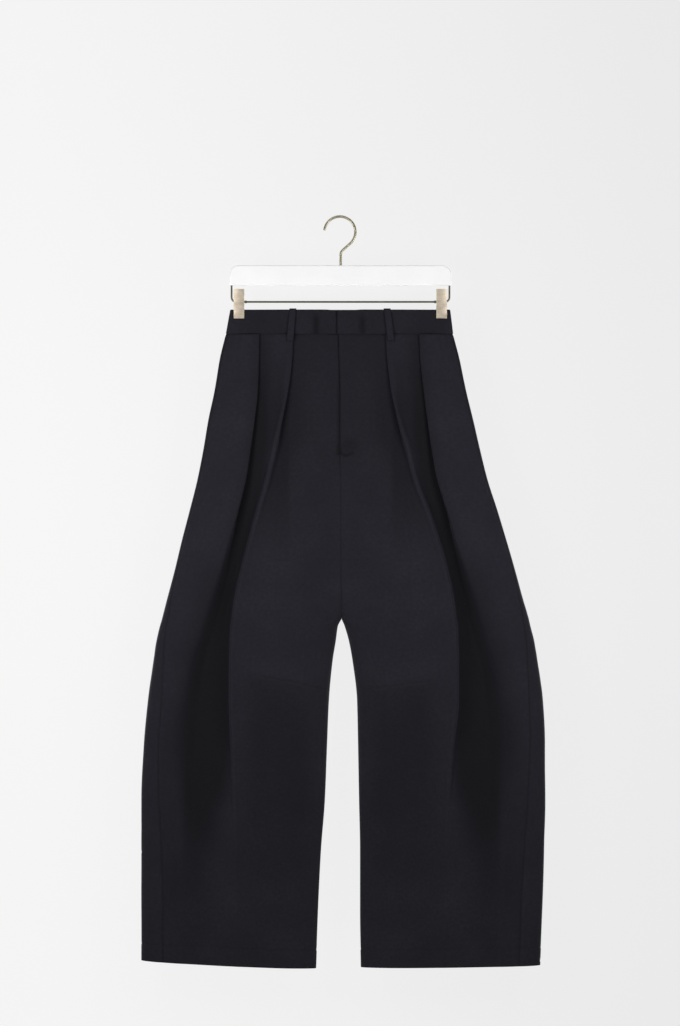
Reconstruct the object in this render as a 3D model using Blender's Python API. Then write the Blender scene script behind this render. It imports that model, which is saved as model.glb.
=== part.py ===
# Barrel leg trousers hanging flat from a clip hanger.
# Metres, +Z up. The front faces -Y, and the wearer's left is at +X.
# The origin is the inside of the hook's crown, where the hanger rests on a rail.
# Cloth is worked out in millimetres as section curves at a short list of levels, each level a drop
# below the waistband's top edge, and then thickened into a closed wall.
import math

import bmesh
import bpy
from mathutils import Vector

MM = 0.001

# Hanger
HOOK_RADIUS = 24.8
HOOK_WIRE = 2.15
HOOK_X = -1.0
HOOK_TIP_ANGLE = 172
HOOK_END_ANGLE = -43
STEM_X = 0.3
STEM_TOP = -54.6
BAR_TOP = -76.3
BAR_BOTTOM = -108.3
BAR_HALF = 177.1
BAR_DEPTH = 12
BAR_CORNER = 14
BAR_EDGE = 2
SOCKET_DEPTH = 12
ROD_Z = -134.9
ROD_RADIUS = 1.35
ROD_END = 174.3
ROD_BEND = 7
STOP_RADIUS = 2.4
STOP_LENGTH = 4
CLIP_TOP = -114
CLIP_BOTTOM = -161.1
CLIP_WIDTH = 17
CLIP_PLATE = 1
CLIP_LIP = 1.8
CLIP_X = {"right": 162.4, "left": 161.8}
SPRING_OUTER = 2.7

# Trousers
WAIST_TOP = -148.2
BAND_HEIGHT = 37.6
CROTCH_DROP = 492
CLOTH = 1.4
BAND_WALL = 2.6
GAP = 0.3
HEM_DEPTH = 29
HEM_WALL = 2.6
LAP_WIDTH = 3
LAP_REACH = 16
FLY_END = 232
FLY_FADE = 40
FLY_TAPER = 24
SHIELD_HALF = 25
SHIELD_STEPS = 4
SHIELD_GAP = 0.4
SHIELD_LEVELS = (42, 58, 80, 104, 127, 175, 223, 236)
UNDERLAP = 36
LAP_SHIFT = 5.6
LAP_EASE = 28
LAP_DIP = 7
DIP_START = 26
DIP_EASE = 20
LOOP_WIDTH = 10
LOOP_WALL = 2
LOOP_RISE = 3
BACK_LOOP_RISE = -1.5
LOOP_FOOT = 12
LOOP_BULGE = 1.6
LOOP_STEPS = 9
ROUND_PULL = 1.6
BEND_STEPS = 3
CROTCH_SLOPE = 50
CROTCH_REACH = 120

# The outline of each leg from the front: how far its outer edge, its inner edge and the crests of its
# two pleats stand from the middle line, at each drop. Above the crotch the inner edge is the centre seam.
OUTLINE = {
    "right": """
    drop  outer  inner  pleat_b  pleat_a
      38  182.7    3.6    76.0   130.0
      80  193.0    2.0    78.0   131.0
     127  200.5    0.8    84.0   132.5
     175  210.5    0.8    95.0   137.5
     223  218.5    0.8   104.0   144.0
     271  228.0    0.0   115.0   151.5
     319  240.0    0.0   128.5   163.0
     367  252.5    0.0   141.0   176.0
     415  264.0   -0.4   153.0   189.5
     463  276.5   -1.2   163.8   204.5
     492  283.8   -1.6   168.0   213.0
     505  287.5    3.6   169.6   217.0
     527  292.5    8.8   170.8   225.0
     559  298.0   14.0   171.6   236.0
     623  307.0   20.0   171.8   250.0
     695  314.0   23.0   168.8   256.0
     783  317.6   26.5   167.0   258.0
     863  317.6   32.8   165.0   258.0
     959  317.6   37.6   164.0   258.0
    1048  317.6   40.8   163.0   258.0
    """,
    "left": """
    drop  outer  inner  pleat_b  pleat_a
      38  178.4   -3.6    72.8   126.0
      80  189.5   -2.0    75.5   128.5
     127  199.0   -0.8    81.5   133.5
     175  210.5   -0.8    91.5   139.5
     223  221.5   -0.8   105.0   146.0
     271  233.5    0.0   117.5   155.0
     319  249.0    0.0   136.0   169.5
     367  263.5    0.0   151.5   183.0
     415  277.5    0.4   165.0   198.0
     463  290.5    1.2   175.0   214.0
     492  299.0    1.6   179.0   222.0
     505  302.0    6.0   181.0   226.0
     527  307.5   13.0   181.8   233.0
     559  313.0   19.0   182.8   242.0
     623  322.0   26.4   182.5   256.0
     695  325.6   28.0   175.0   261.0
     783  325.8   29.6   168.5   262.0
     863  324.0   31.2   166.0   261.0
     959  320.8   31.2   165.0   259.0
    1048  317.6   32.8   164.0   258.0
    """,
}
# Depths in front of the middle plane, and the inset of the side seam from the outer edge.
DEPTH = """
    drop  seam  bulge  panel  edge  back_seam  back  side_seam
      38   6.0   6.0    5.0   0.0    5.0     4.5     3
      80   8.0   7.5    7.5   0.0    8.0     8.5     3
     127  10.0   9.5   10.0   0.5   10.5    11.5     3
     175  12.0  12.0   12.5   1.0   12.5    14.5     3
     223  13.0  15.5   15.0   1.0   13.5    17.0     3
     271  13.5  18.5   17.5   1.5   13.5    19.0     3
     319  13.0  21.5   19.0   1.5   13.0    21.0     3
     367  12.0  24.0   20.0   1.5   12.0    22.0     3
     415   9.5  26.0   20.0   1.5    9.5    22.0     4
     463   5.5  27.5   19.5   1.5    5.5    21.0     6
     492   1.8  27.5   19.0   1.0    1.8    20.0     9
     505   0.0  27.5   18.5   1.0    0.0    19.5    10
     527   0.0  27.5   18.0   0.5    0.0    19.5    12
     559   0.0  27.5   17.0   0.5    0.0    19.0    16
     623   0.0  27.0   16.5   0.0    0.0    18.0    22
     695   0.0  25.0   15.0   0.0    0.0    17.0    24
     783   0.0  21.5   14.0   0.0    0.0    16.0    28
     863   0.0  19.0   14.0   0.0    0.0    15.0    32
     959   0.0  17.0   13.5   0.0    0.0    14.0    34
    1048   0.0  16.0   13.0   0.0    0.0    13.5    34
"""
# A pleat's section, going outward: the cloth lies at its foot, turns up by an angle, runs up its flank,
# and turns down over its crest to fall at an angle. A turn of 180 is a pleat folded flat.
PLEAT = {
    "pleat_b": """
    drop  foot  turn  flank  fall  bend
      38   4.0  180   12.0     2   1.0
      80   4.6  176   11.0     6   1.1
     127   5.8  164    9.0    12   1.3
     175   8.0  125    6.0    22   1.8
     223  11.5   75    4.0    42   2.4
     271  14.5   45    4.5    60   2.8
     319  17.5   25    5.5    72   3.0
     367  20.5   16    6.0    80   3.3
     415  23.0   13    6.0    84   3.8
     463  24.5   11    6.0    87   4.2
     492  25.0   10    6.0    88   4.2
     505  25.2   10    6.0    88   4.2
     527  25.5   10    6.0    88   4.2
     559  26.0   10    6.0    88   4.2
     623  26.0   10    6.0    85   4.4
     655  25.4   10    6.0    80   4.6
     695  24.0   10    6.0    68   5.4
     735  22.4    9    6.0    56   6.4
     783  20.5    9    6.0    36   8.5
     815  19.6    8    6.0    20  11.0
     863  18.0    8    6.0    10  14.0
     959  16.2    7    6.0     7  16.0
    1048  15.2    6    6.0     6  17.0
    """,
    "pleat_a": """
    drop  foot  turn  flank  fall  bend
      38   4.0  180   14.0     0   1.0
      80   4.4  178   13.0     0   1.1
     127   4.8  172   12.0     0   1.3
     175   5.6  164   11.0     0   1.5
     223   6.0  154   10.0     2   1.8
     271   6.0  134    9.0     3   2.2
     319   5.5  104    9.0     3   3.0
     367   4.5   76    9.5     4   4.6
     415   3.5   56   12.0     4   7.0
     463   3.0   46   14.5     4   9.0
     492   2.8   42   15.5     4  10.0
     505   2.6   40   16.0     4  10.5
     527   2.5   38   17.0     4  11.0
     559   2.5   34   18.0     3  12.0
     623   3.0   27   21.0     2  15.0
     695   5.0   19   20.0     2  18.0
     783   8.5   13   16.0     2  20.0
     863  11.0    9   12.0     2  20.0
     959  12.5    7   10.0     2  20.0
    1048  13.0    6   10.0     2  20.0
    """,
}
# The hem's drop at the inner and the outer edge of each leg.
HEM = {"right": (1050.4, 1038.7), "left": (1049.6, 1045.6)}
KNEE_DROP = 700
LEVELS = (
    38, 58, 80, 104, 127, 175, 223, 232, 271, 319, 367, 415, 463, 482, 492, 496, 505, 527, 559,
    623, 695, 739, 783, 863, 959, 1017, 1019, 1048,
)
SIDES = {"right": -1, "left": 1}


def read_table(text):
    lines = [line.split() for line in text.strip().splitlines()]
    names = lines[0]
    columns = {name: [] for name in names}
    for line in lines[1:]:
        for name, value in zip(names, line):
            columns[name].append(float(value))
    return columns


def read_at(columns, name, drop):
    """The column's value at a drop, on a smooth curve that doesn't overshoot its rows."""
    xs = columns["drop"]
    ys = columns[name]
    if drop <= xs[0]:
        return ys[0]
    if drop >= xs[-1]:
        return ys[-1]
    i = max(k for k in range(len(xs) - 1) if xs[k] <= drop)
    slopes = [(ys[k + 1] - ys[k]) / (xs[k + 1] - xs[k]) for k in range(len(xs) - 1)]

    def tangent(k):
        if k == 0:
            return slopes[0]
        if k == len(xs) - 1:
            return slopes[-1]
        a, b = slopes[k - 1], slopes[k]
        return 0 if a * b <= 0 else 2 * a * b / (a + b)

    width = xs[i + 1] - xs[i]
    t = (drop - xs[i]) / width
    return (
        (2 * t**3 - 3 * t**2 + 1) * ys[i]
        + (t**3 - 2 * t**2 + t) * width * tangent(i)
        + (3 * t**2 - 2 * t**3) * ys[i + 1]
        + (t**3 - t**2) * width * tangent(i + 1)
    )


OUTLINES = {side: read_table(text) for side, text in OUTLINE.items()}
DEPTHS = read_table(DEPTH)
PLEATS = {name: read_table(text) for name, text in PLEAT.items()}


def heading(degrees):
    return Vector((math.cos(math.radians(degrees)), math.sin(math.radians(degrees))))


def run(start, start_heading, end, end_heading, count, ease=1.0):
    """Points on a soft curve from start to end, without its first point. An ease over 1 crowds the
    points at the start, and one under -1 crowds them at the end."""
    across = abs(end.x - start.x)
    deep = ROUND_PULL * abs(end.y - start.y)
    u = Vector((heading(start_heading).x * across, heading(start_heading).y * deep))
    v = Vector((heading(end_heading).x * across, heading(end_heading).y * deep))
    points = []
    for k in range(1, count + 1):
        t = (k / count) ** ease if ease > 0 else 1 - (1 - k / count) ** -ease
        points.append(
            start * (2 * t**3 - 3 * t**2 + 1)
            + u * (t**3 - 2 * t**2 + t)
            + end * (3 * t**2 - 2 * t**3)
            + v * (t**3 - t**2)
        )
    return points


def pleat_points(name, crest_x, drop):
    """One pleat's section, from its foot to the end of its fall, and the heading of that fall."""
    foot = read_at(PLEATS[name], "foot", drop)
    turn = read_at(PLEATS[name], "turn", drop)
    flank = read_at(PLEATS[name], "flank", drop)
    fall = read_at(PLEATS[name], "fall", drop)
    bend = read_at(PLEATS[name], "bend", drop)
    lead = flank * (0.4 + 0.6 * turn / 180)
    steps = BEND_STEPS
    points = [Vector((0, 0)), Vector((lead, 0))]
    centre = Vector((lead, bend))
    for k in range(1, steps + 1):
        angle = turn * k / steps
        points.append(centre + bend * Vector((heading(angle).y, -heading(angle).x)))
    points.append(points[-1] + flank * heading(turn))
    centre = points[-1] + bend * Vector((heading(turn).y, -heading(turn).x))
    for k in range(1, steps + 1):
        angle = turn - (turn + fall) * k / steps
        points.append(centre - bend * Vector((heading(angle).y, -heading(angle).x)))
    points.append(points[-1] + lead * heading(-fall))
    crest = centre.x - bend * math.sin(math.radians(min(turn, 90)))
    shift = Vector((crest_x - crest, foot))
    return [point + shift for point in points], -fall


def section(side, drop):
    """The middle line of one leg's cloth at a drop, as the front's points and the back's points.
    Each point is (distance from the middle line, depth in front of the middle plane)."""
    table = OUTLINES[side]
    inner = read_at(table, "inner", drop)
    outer = read_at(table, "outer", drop)
    depth = {name: read_at(DEPTHS, name, drop) for name in DEPTHS if name != "drop"}
    split = drop > CROTCH_DROP
    wall = cloth_wall(drop)
    b_points, b_end = pleat_points("pleat_b", read_at(table, "pleat_b", drop), drop)
    a_points, a_end = pleat_points("pleat_a", read_at(table, "pleat_a", drop), drop)
    if split:
        near = Vector((inner + CLOTH / 2, GAP / 2))
        near_heading = 90
    else:
        near = Vector((inner + GAP / 2, depth["seam"]))
        near_heading = crotch_slope(drop)
    middle = Vector(((near.x + b_points[0].x) / 2, depth["bulge"]))
    front = [near]
    front += run(near, near_heading, middle, 0, 3, 1.4 if split else 1.0)
    front += run(middle, 0, b_points[0], 0, 2)
    front += b_points[1:]
    front += run(b_points[-1], b_end, a_points[0], 0, 3)
    front += a_points[1:]
    edge = Vector((outer - CLOTH / 2, depth["edge"] - (wall - CLOTH) / 2))
    panel = Vector(((a_points[-1].x + edge.x) / 2, depth["panel"]))
    outer_run = run(a_points[-1], a_end, panel, -3, 4) + run(panel, -3, edge, -90, 24)
    inset = depth["side_seam"]
    cut = next(k for k, point in enumerate(outer_run) if point.x > edge.x - inset)
    before, after = outer_run[cut - 1], outer_run[cut]
    seam = before.lerp(after, (edge.x - inset - before.x) / (after.x - before.x))
    along = (after - before).normalized()
    front += resample([a_points[-1]] + outer_run[:cut] + [seam - along * GAP / 2], 4)[1:]
    back = resample([seam + along * GAP / 2] + outer_run[cut:], 3)
    far_x = inner + CLOTH / 2 if split else inner + GAP / 2
    far = Vector((far_x, -GAP / 2 if split else -depth["back_seam"]))
    far_heading = 90 if split else 180 - crotch_slope(drop)
    deep = Vector((edge.x * 0.55 + far.x * 0.45, -depth["back"]))
    back += run(edge, -90, deep, 180, 6, 1.4)
    back += run(deep, 180, far, far_heading, 5, -1.4 if split else 1.0)
    return front, back, Vector((-along.y, along.x))


def resample(points, count):
    """The same line, with its points evenly spaced."""
    lengths = [0]
    for a, b in zip(points, points[1:]):
        lengths.append(lengths[-1] + (b - a).length)
    result = []
    for k in range(count + 1):
        want = lengths[-1] * k / count
        i = max(j for j in range(len(points) - 1) if lengths[j] <= want)
        span = lengths[i + 1] - lengths[i]
        result.append(points[i].lerp(points[i + 1], (want - lengths[i]) / span if span else 0))
    return result


def crotch_slope(drop):
    """How steeply the cloth leaves the centre seam, growing toward the crotch."""
    return CROTCH_SLOPE * smooth_step((drop - CROTCH_DROP + CROTCH_REACH) / CROTCH_REACH)


def cloth_wall(drop):
    hem_top = HEM["left"][0] - HEM_DEPTH
    return HEM_WALL if drop > hem_top - 2 else CLOTH


def fly_lift(drop):
    """How far the fly's edge stands off the panel below it."""
    lift = CLOTH / 2 + GAP
    if drop <= FLY_END:
        return lift
    return lift * max(0, 1 - (drop - FLY_END) / FLY_FADE)


def fly_reach(drop):
    """How far the lower panel runs under the fly's edge."""
    return LAP_WIDTH * min(1, max(0, (FLY_END - drop) / FLY_TAPER))


def smooth_step(value):
    t = min(1, max(0, value))
    return t * t * (3 - 2 * t)


def shape_front(side, drop, points):
    """Lap the left front's edge over the right one's, down to the end of the fly."""
    if drop > CROTCH_DROP:
        return points
    lift = fly_lift(drop) * SIDES[side]
    reach = fly_reach(drop) if side == "right" else 0
    inner = points[0].x
    shaped = []
    for point in points:
        amount = smooth_step(1 - (point.x - inner) / LAP_REACH)
        shaped.append(point + Vector((-reach, lift)) * amount)
    return shaped


def normals(points, first=None, last=None):
    """The front-facing normal at each point of a section."""
    result = []
    for i in range(len(points)):
        a = points[max(i - 1, 0)]
        b = points[min(i + 1, len(points) - 1)]
        before = (points[i] - a).normalized() if i else None
        after = (b - points[i]).normalized() if i < len(points) - 1 else None
        along = (before or after) + (after or before)
        along.normalize()
        result.append(Vector((-along.y, along.x)))
    if first:
        result[0] = first
    if last:
        result[-1] = last
    return result


def level_z(side, drop, x):
    """The height of a point: the levels fan out below the knee to the slope of the hem."""
    inner_hem, outer_hem = HEM[side]
    outer = read_at(OUTLINES[side], "outer", drop)
    share = min(1, max(0, x / outer))
    last = LEVELS[-1]
    tilt = inner_hem + (outer_hem - inner_hem) * share - last
    amount = max(0, (drop - KNEE_DROP) / (last - KNEE_DROP)) ** 2
    return WAIST_TOP - drop - tilt * amount


def wall_rings(side, part):
    """Both faces of a panel, as rows of points in metres from the waist to the hem."""
    outer_rows = []
    inner_rows = []
    for drop in LEVELS:
        front, back, seam_normal = section(side, drop)
        if drop > CROTCH_DROP:
            inner_normal = Vector((-1, 0))
        else:
            mitre = 1 / heading(crotch_slope(drop)).x
            inner_normal = Vector((0, mitre if part == "front" else -mitre))
        if part == "front":
            points = shape_front(side, drop, front)
            across = normals(points, inner_normal, seam_normal)
        else:
            points = back
            across = normals(points, seam_normal, inner_normal)
        half = CLOTH / 2
        thick = cloth_wall(drop)
        outer_rows.append([place(side, drop, p + n * half) for p, n in zip(points, across)])
        inner_rows.append([place(side, drop, p + n * (half - thick)) for p, n in zip(points, across)])
    return outer_rows, inner_rows


def place(side, drop, point):
    return Vector((SIDES[side] * point.x, -point.y, level_z(side, drop, point.x))) * MM


def wall_mesh(name, outer_rows, inner_rows, colour, rough):
    """A closed wall between two grids of points with the same rows."""
    mesh = bmesh.new()
    grids = []
    for rows in (outer_rows, inner_rows):
        grids.append([[mesh.verts.new(point) for point in row] for row in rows])
    outer, inner = grids
    rows = len(outer)
    columns = len(outer[0])
    for i in range(rows - 1):
        for j in range(columns - 1):
            mesh.faces.new((outer[i][j], outer[i + 1][j], outer[i + 1][j + 1], outer[i][j + 1]))
            mesh.faces.new((inner[i][j], inner[i][j + 1], inner[i + 1][j + 1], inner[i + 1][j]))
    for j in range(columns - 1):
        mesh.faces.new((outer[0][j], outer[0][j + 1], inner[0][j + 1], inner[0][j]))
        mesh.faces.new((outer[-1][j], inner[-1][j], inner[-1][j + 1], outer[-1][j + 1]))
    for i in range(rows - 1):
        mesh.faces.new((outer[i][0], inner[i][0], inner[i + 1][0], outer[i + 1][0]))
        mesh.faces.new((outer[i][-1], outer[i + 1][-1], inner[i + 1][-1], inner[i][-1]))
    bmesh.ops.triangulate(mesh, faces=mesh.faces[:])
    return finish_mesh(name, mesh, colour, rough)


def finish_mesh(name, mesh, colour, rough, metal=0.0):
    bmesh.ops.recalc_face_normals(mesh, faces=mesh.faces[:])
    if mesh.calc_volume(signed=True) < 0:
        bmesh.ops.reverse_faces(mesh, faces=mesh.faces[:])
    data = bpy.data.meshes.new(name)
    mesh.to_mesh(data)
    mesh.free()
    data.shade_smooth()
    data.set_sharp_from_angle(angle=math.radians(50))
    item = bpy.data.objects.new(name, data)
    bpy.context.scene.collection.objects.link(item)
    item.data.materials.append(make_material(name, colour, rough, metal))
    return item


def make_material(name, colour, rough, metal):
    material = bpy.data.materials.new(name)
    material.use_nodes = True
    shader = material.node_tree.nodes["Principled BSDF"]
    shader.inputs["Base Color"].default_value = (*colour, 1)
    shader.inputs["Roughness"].default_value = rough
    shader.inputs["Metallic"].default_value = metal
    return material


CLOTH_COLOUR = (0.018, 0.018, 0.024)
CLOTH_ROUGH = 0.85
METAL_ROUGH = 0.35
METAL_COLOUR = (0.50, 0.46, 0.38)
WIRE_COLOUR = (0.24, 0.22, 0.15)
WHITE_COLOUR = (0.9, 0.9, 0.9)

# The waistband from the front: half widths at its top and its bottom edge, and its depths.
BAND = {
    "right": {"top": 175.4, "bottom": 182.4},
    "left": {"top": 173.8, "bottom": 178.4},
}
BAND_DEPTH = 6
BAND_PINCH = (BAND_WALL + GAP) / 2
BAND_EASE = 1.4
BAND_TAPER = 0.5
BAND_ROWS = 5
FOLD_STEPS = 6
CLIP_SHARE = (WAIST_TOP - CLIP_BOTTOM + 1) / BAND_HEIGHT


def band_fold(low):
    """The bend of the band's side fold: tight where the clip presses it, then easing open."""
    t = min(1, max(0, (low - CLIP_SHARE) / (1 - CLIP_SHARE)))
    return BAND_PINCH + BAND_EASE * t


def band_depth(x, side, low):
    """How far the band's middle stands from the middle plane, pinched flat at the clip."""
    clip = CLIP_X[side] - CLIP_WIDTH / 2 - 2
    ease = smooth_step((x / clip - BAND_TAPER) / (1 - BAND_TAPER))
    return BAND_DEPTH + (band_fold(low) - BAND_DEPTH) * ease


def band_section(side, low):
    """The waistband half's middle line, from the centre front round the side to the centre back."""
    half = BAND[side]["top"] + (BAND[side]["bottom"] - BAND[side]["top"]) * low
    bend = band_fold(low)
    fold_x = half - BAND_WALL / 2 - bend
    offset = (BAND_WALL + GAP) / 2
    if side == "left":
        stops = (-LAP_SHIFT, 8, 22, UNDERLAP, 48, 60, 76, 92, 112, 130, 141, 151, 160)
        lap = [offset * smooth_step((UNDERLAP + LAP_EASE - x) / LAP_EASE) for x in stops]
    else:
        stops = (-UNDERLAP, -20, -2, 6, 14, 22, 30, 48, 76, 92, 112, 130, 141, 151, 160)
        lap = [-offset * smooth_step((LAP_EASE - x) / LAP_EASE) for x in stops]
    points = [Vector((x, band_depth(x, side, low) + shift)) for x, shift in zip(stops, lap)]
    for k in range(FOLD_STEPS + 1):
        points.append(Vector((fold_x, 0)) + bend * heading(90 - 180 * k / FOLD_STEPS))
    for x in (160, 151, 141, 130, 112, 92, 60, 30, GAP / 2):
        points.append(Vector((x, -band_depth(x, side, low))))
    return points


def waistband(side):
    outer_rows = []
    inner_rows = []
    for k in range(BAND_ROWS):
        low = k / (BAND_ROWS - 1)
        points = band_section(side, low)
        across = normals(points, Vector((0, 1)), Vector((0, -1)))
        drop = BAND_HEIGHT * low
        rows = []
        for offset in (BAND_WALL / 2, -BAND_WALL / 2):
            row = []
            for index, (point, normal) in enumerate(zip(points, across)):
                spot = point + normal * offset
                front = index < len(points) / 2
                dip = LAP_DIP * (1 - low) * near_lap(side, point.x) if front else 0
                row.append(Vector((SIDES[side] * spot.x, -spot.y, WAIST_TOP - drop - dip)) * MM)
            rows.append(row)
        outer_rows.append(rows[0])
        inner_rows.append(rows[1])
    return wall_mesh("waistband_" + side, outer_rows, inner_rows, CLOTH_COLOUR, CLOTH_ROUGH)


def near_lap(side, x):
    """How much of the lap's dip a point of the top edge takes."""
    world_x = x * SIDES[side]
    return smooth_step((UNDERLAP - world_x) / DIP_EASE) * smooth_step((world_x + DIP_START) / DIP_EASE)


def fly_shield():
    """The strip behind both fronts that closes the fly, just under the right front's edge."""
    outer_rows = []
    inner_rows = []
    for drop in SHIELD_LEVELS:
        depth = read_at(DEPTHS, "seam", drop) - CLOTH / 2 - GAP - CLOTH / 2 - SHIELD_GAP - CLOTH / 2
        z = WAIST_TOP - drop
        rows = []
        for offset in (CLOTH / 2, -CLOTH / 2):
            xs = [SHIELD_HALF * (2 * k / SHIELD_STEPS - 1) for k in range(SHIELD_STEPS + 1)]
            rows.append([Vector((x, -depth - offset, z)) * MM for x in xs])
        outer_rows.append(rows[0])
        inner_rows.append(rows[1])
    return wall_mesh("fly_shield", outer_rows, inner_rows, CLOTH_COLOUR, CLOTH_ROUGH)


def front_face(side, drop, x, part="front"):
    """The depth of the outermost cloth of a panel at one place."""
    front, back, _ = section(side, drop)
    points = shape_front(side, drop, front) if part == "front" else back
    best = 0
    for a, b in zip(points, points[1:]):
        low, high = sorted((a.x, b.x))
        if high > low and low <= x <= high:
            share = (x - a.x) / (b.x - a.x)
            best = max(best, abs(a.y + (b.y - a.y) * share))
    return best + CLOTH / 2


def loop_strip(name, side, part, top_x, bottom_x):
    """A belt loop: a strip that bulges off the band, with its foot on the panel below."""
    face = 1 if part == "front" else -1
    outer_rows = []
    inner_rows = []
    rise = LOOP_RISE if part == "front" else BACK_LOOP_RISE
    total = rise + BAND_HEIGHT + LOOP_FOOT
    sign = SIDES[side] if side else 1
    side_name = side or "left"
    for k in range(LOOP_STEPS + 1):
        share = k / LOOP_STEPS
        drop = -rise + total * share
        middle = top_x + (bottom_x - top_x) * share
        rows = []
        for x in (middle - LOOP_WIDTH / 2, middle, middle + LOOP_WIDTH / 2):
            low = min(1, max(0, drop / BAND_HEIGHT))
            band = band_depth(abs(x), side_name, low) + BAND_WALL / 2
            panel = 0
            if drop > BAND_HEIGHT - 7:
                for probe in (x - 3, x, x + 3):
                    for level in (LEVELS[0], max(LEVELS[0], drop), max(LEVELS[0], drop + 5)):
                        panel = max(panel, front_face(side_name, level, abs(probe), part))
            rows.append(max(band, panel))
        base = max(rows) + GAP
        bulge = LOOP_BULGE * math.sin(math.pi * min(1, max(0, drop / BAND_HEIGHT))) ** 2
        outer_row = []
        inner_row = []
        for x in (middle - LOOP_WIDTH / 2, middle + LOOP_WIDTH / 2):
            depth = base + bulge
            z = WAIST_TOP - drop
            outer_row.append(Vector((sign * x, -face * (depth + LOOP_WALL), z)) * MM)
            inner_row.append(Vector((sign * x, -face * depth, z)) * MM)
        outer_rows.append(outer_row)
        inner_rows.append(inner_row)
    return wall_mesh(name, outer_rows, inner_rows, CLOTH_COLOUR, CLOTH_ROUGH)


def tube(name, points, radii, sides, colour, rough, metal):
    """A round wire along a smooth route."""
    curve = bpy.data.curves.new(name, "CURVE")
    curve.dimensions = "3D"
    curve.bevel_depth = 1
    curve.bevel_resolution = sides // 2 - 2
    curve.use_fill_caps = True
    spline = curve.splines.new("POLY")
    spline.points.add(len(points) - 1)
    for knot, point, radius in zip(spline.points, points, radii):
        knot.co = (*(point * MM), 1)
        knot.radius = radius * MM
    item = bpy.data.objects.new(name, curve)
    bpy.context.scene.collection.objects.link(item)
    curve.materials.append(make_material(name, colour, rough, metal))
    return item


def hanger_hook():
    centre = Vector((HOOK_X, 0, -HOOK_RADIUS + HOOK_WIRE))
    points = []
    radii = []
    steps = 22
    for k in range(steps + 1):
        angle = math.radians(HOOK_TIP_ANGLE + (HOOK_END_ANGLE - HOOK_TIP_ANGLE) * k / steps)
        points.append(centre + HOOK_RADIUS * Vector((math.cos(angle), 0, math.sin(angle))))
        radii.append(HOOK_WIRE)
    tip = points[0] - Vector((0, 0, 1.2))
    points.insert(0, tip)
    radii.insert(0, HOOK_WIRE * 0.6)
    bend = Vector((STEM_X, 0, STEM_TOP))
    last = points[-1]
    foot = Vector((STEM_X, 0, STEM_TOP - 8))
    for share in (0.35, 0.7):
        points.append(last.lerp(bend, share))
        radii.append(HOOK_WIRE)
    corner = last.lerp(bend, 0.7)
    for k in range(1, 4):
        t = k / 4
        points.append(corner * (1 - t) ** 2 + bend * 2 * t * (1 - t) + foot * t * t)
        radii.append(HOOK_WIRE)
    points.append(foot)
    radii.append(HOOK_WIRE)
    points.append(Vector((STEM_X, 0, BAR_TOP - SOCKET_DEPTH + GAP)))
    radii.append(HOOK_WIRE)
    return tube("hanger_hook", points, radii, 12, WIRE_COLOUR, METAL_ROUGH, 1.0)


def hanger_rod():
    points = []
    radii = []
    rise = [Vector((-ROD_END, 0, BAR_BOTTOM + SOCKET_DEPTH - GAP)), Vector((-ROD_END, 0, ROD_Z + ROD_BEND))]
    points += rise
    radii += [ROD_RADIUS, ROD_RADIUS]
    for k in range(1, 5):
        angle = math.radians(180 + 90 * k / 4)
        centre = Vector((-ROD_END + ROD_BEND, 0, ROD_Z + ROD_BEND))
        points.append(centre + ROD_BEND * Vector((math.cos(angle), 0, math.sin(angle))))
        radii.append(ROD_RADIUS)
    inner_edge = CLIP_X["right"] - CLIP_WIDTH / 2 - 1
    stops = ((inner_edge, ROD_RADIUS), (inner_edge - 0.3, STOP_RADIUS))
    stops += ((inner_edge - 1.5, STOP_RADIUS), (inner_edge - STOP_LENGTH, ROD_RADIUS))
    for x, radius in stops:
        points.append(Vector((-x, 0, ROD_Z)))
        radii.append(radius)
    mirrored = [Vector((-point.x, 0, point.z)) for point in reversed(points)]
    points += mirrored
    radii += list(reversed(radii))
    return tube("hanger_rod", points, radii, 8, METAL_COLOUR, METAL_ROUGH, 1.0)


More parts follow.
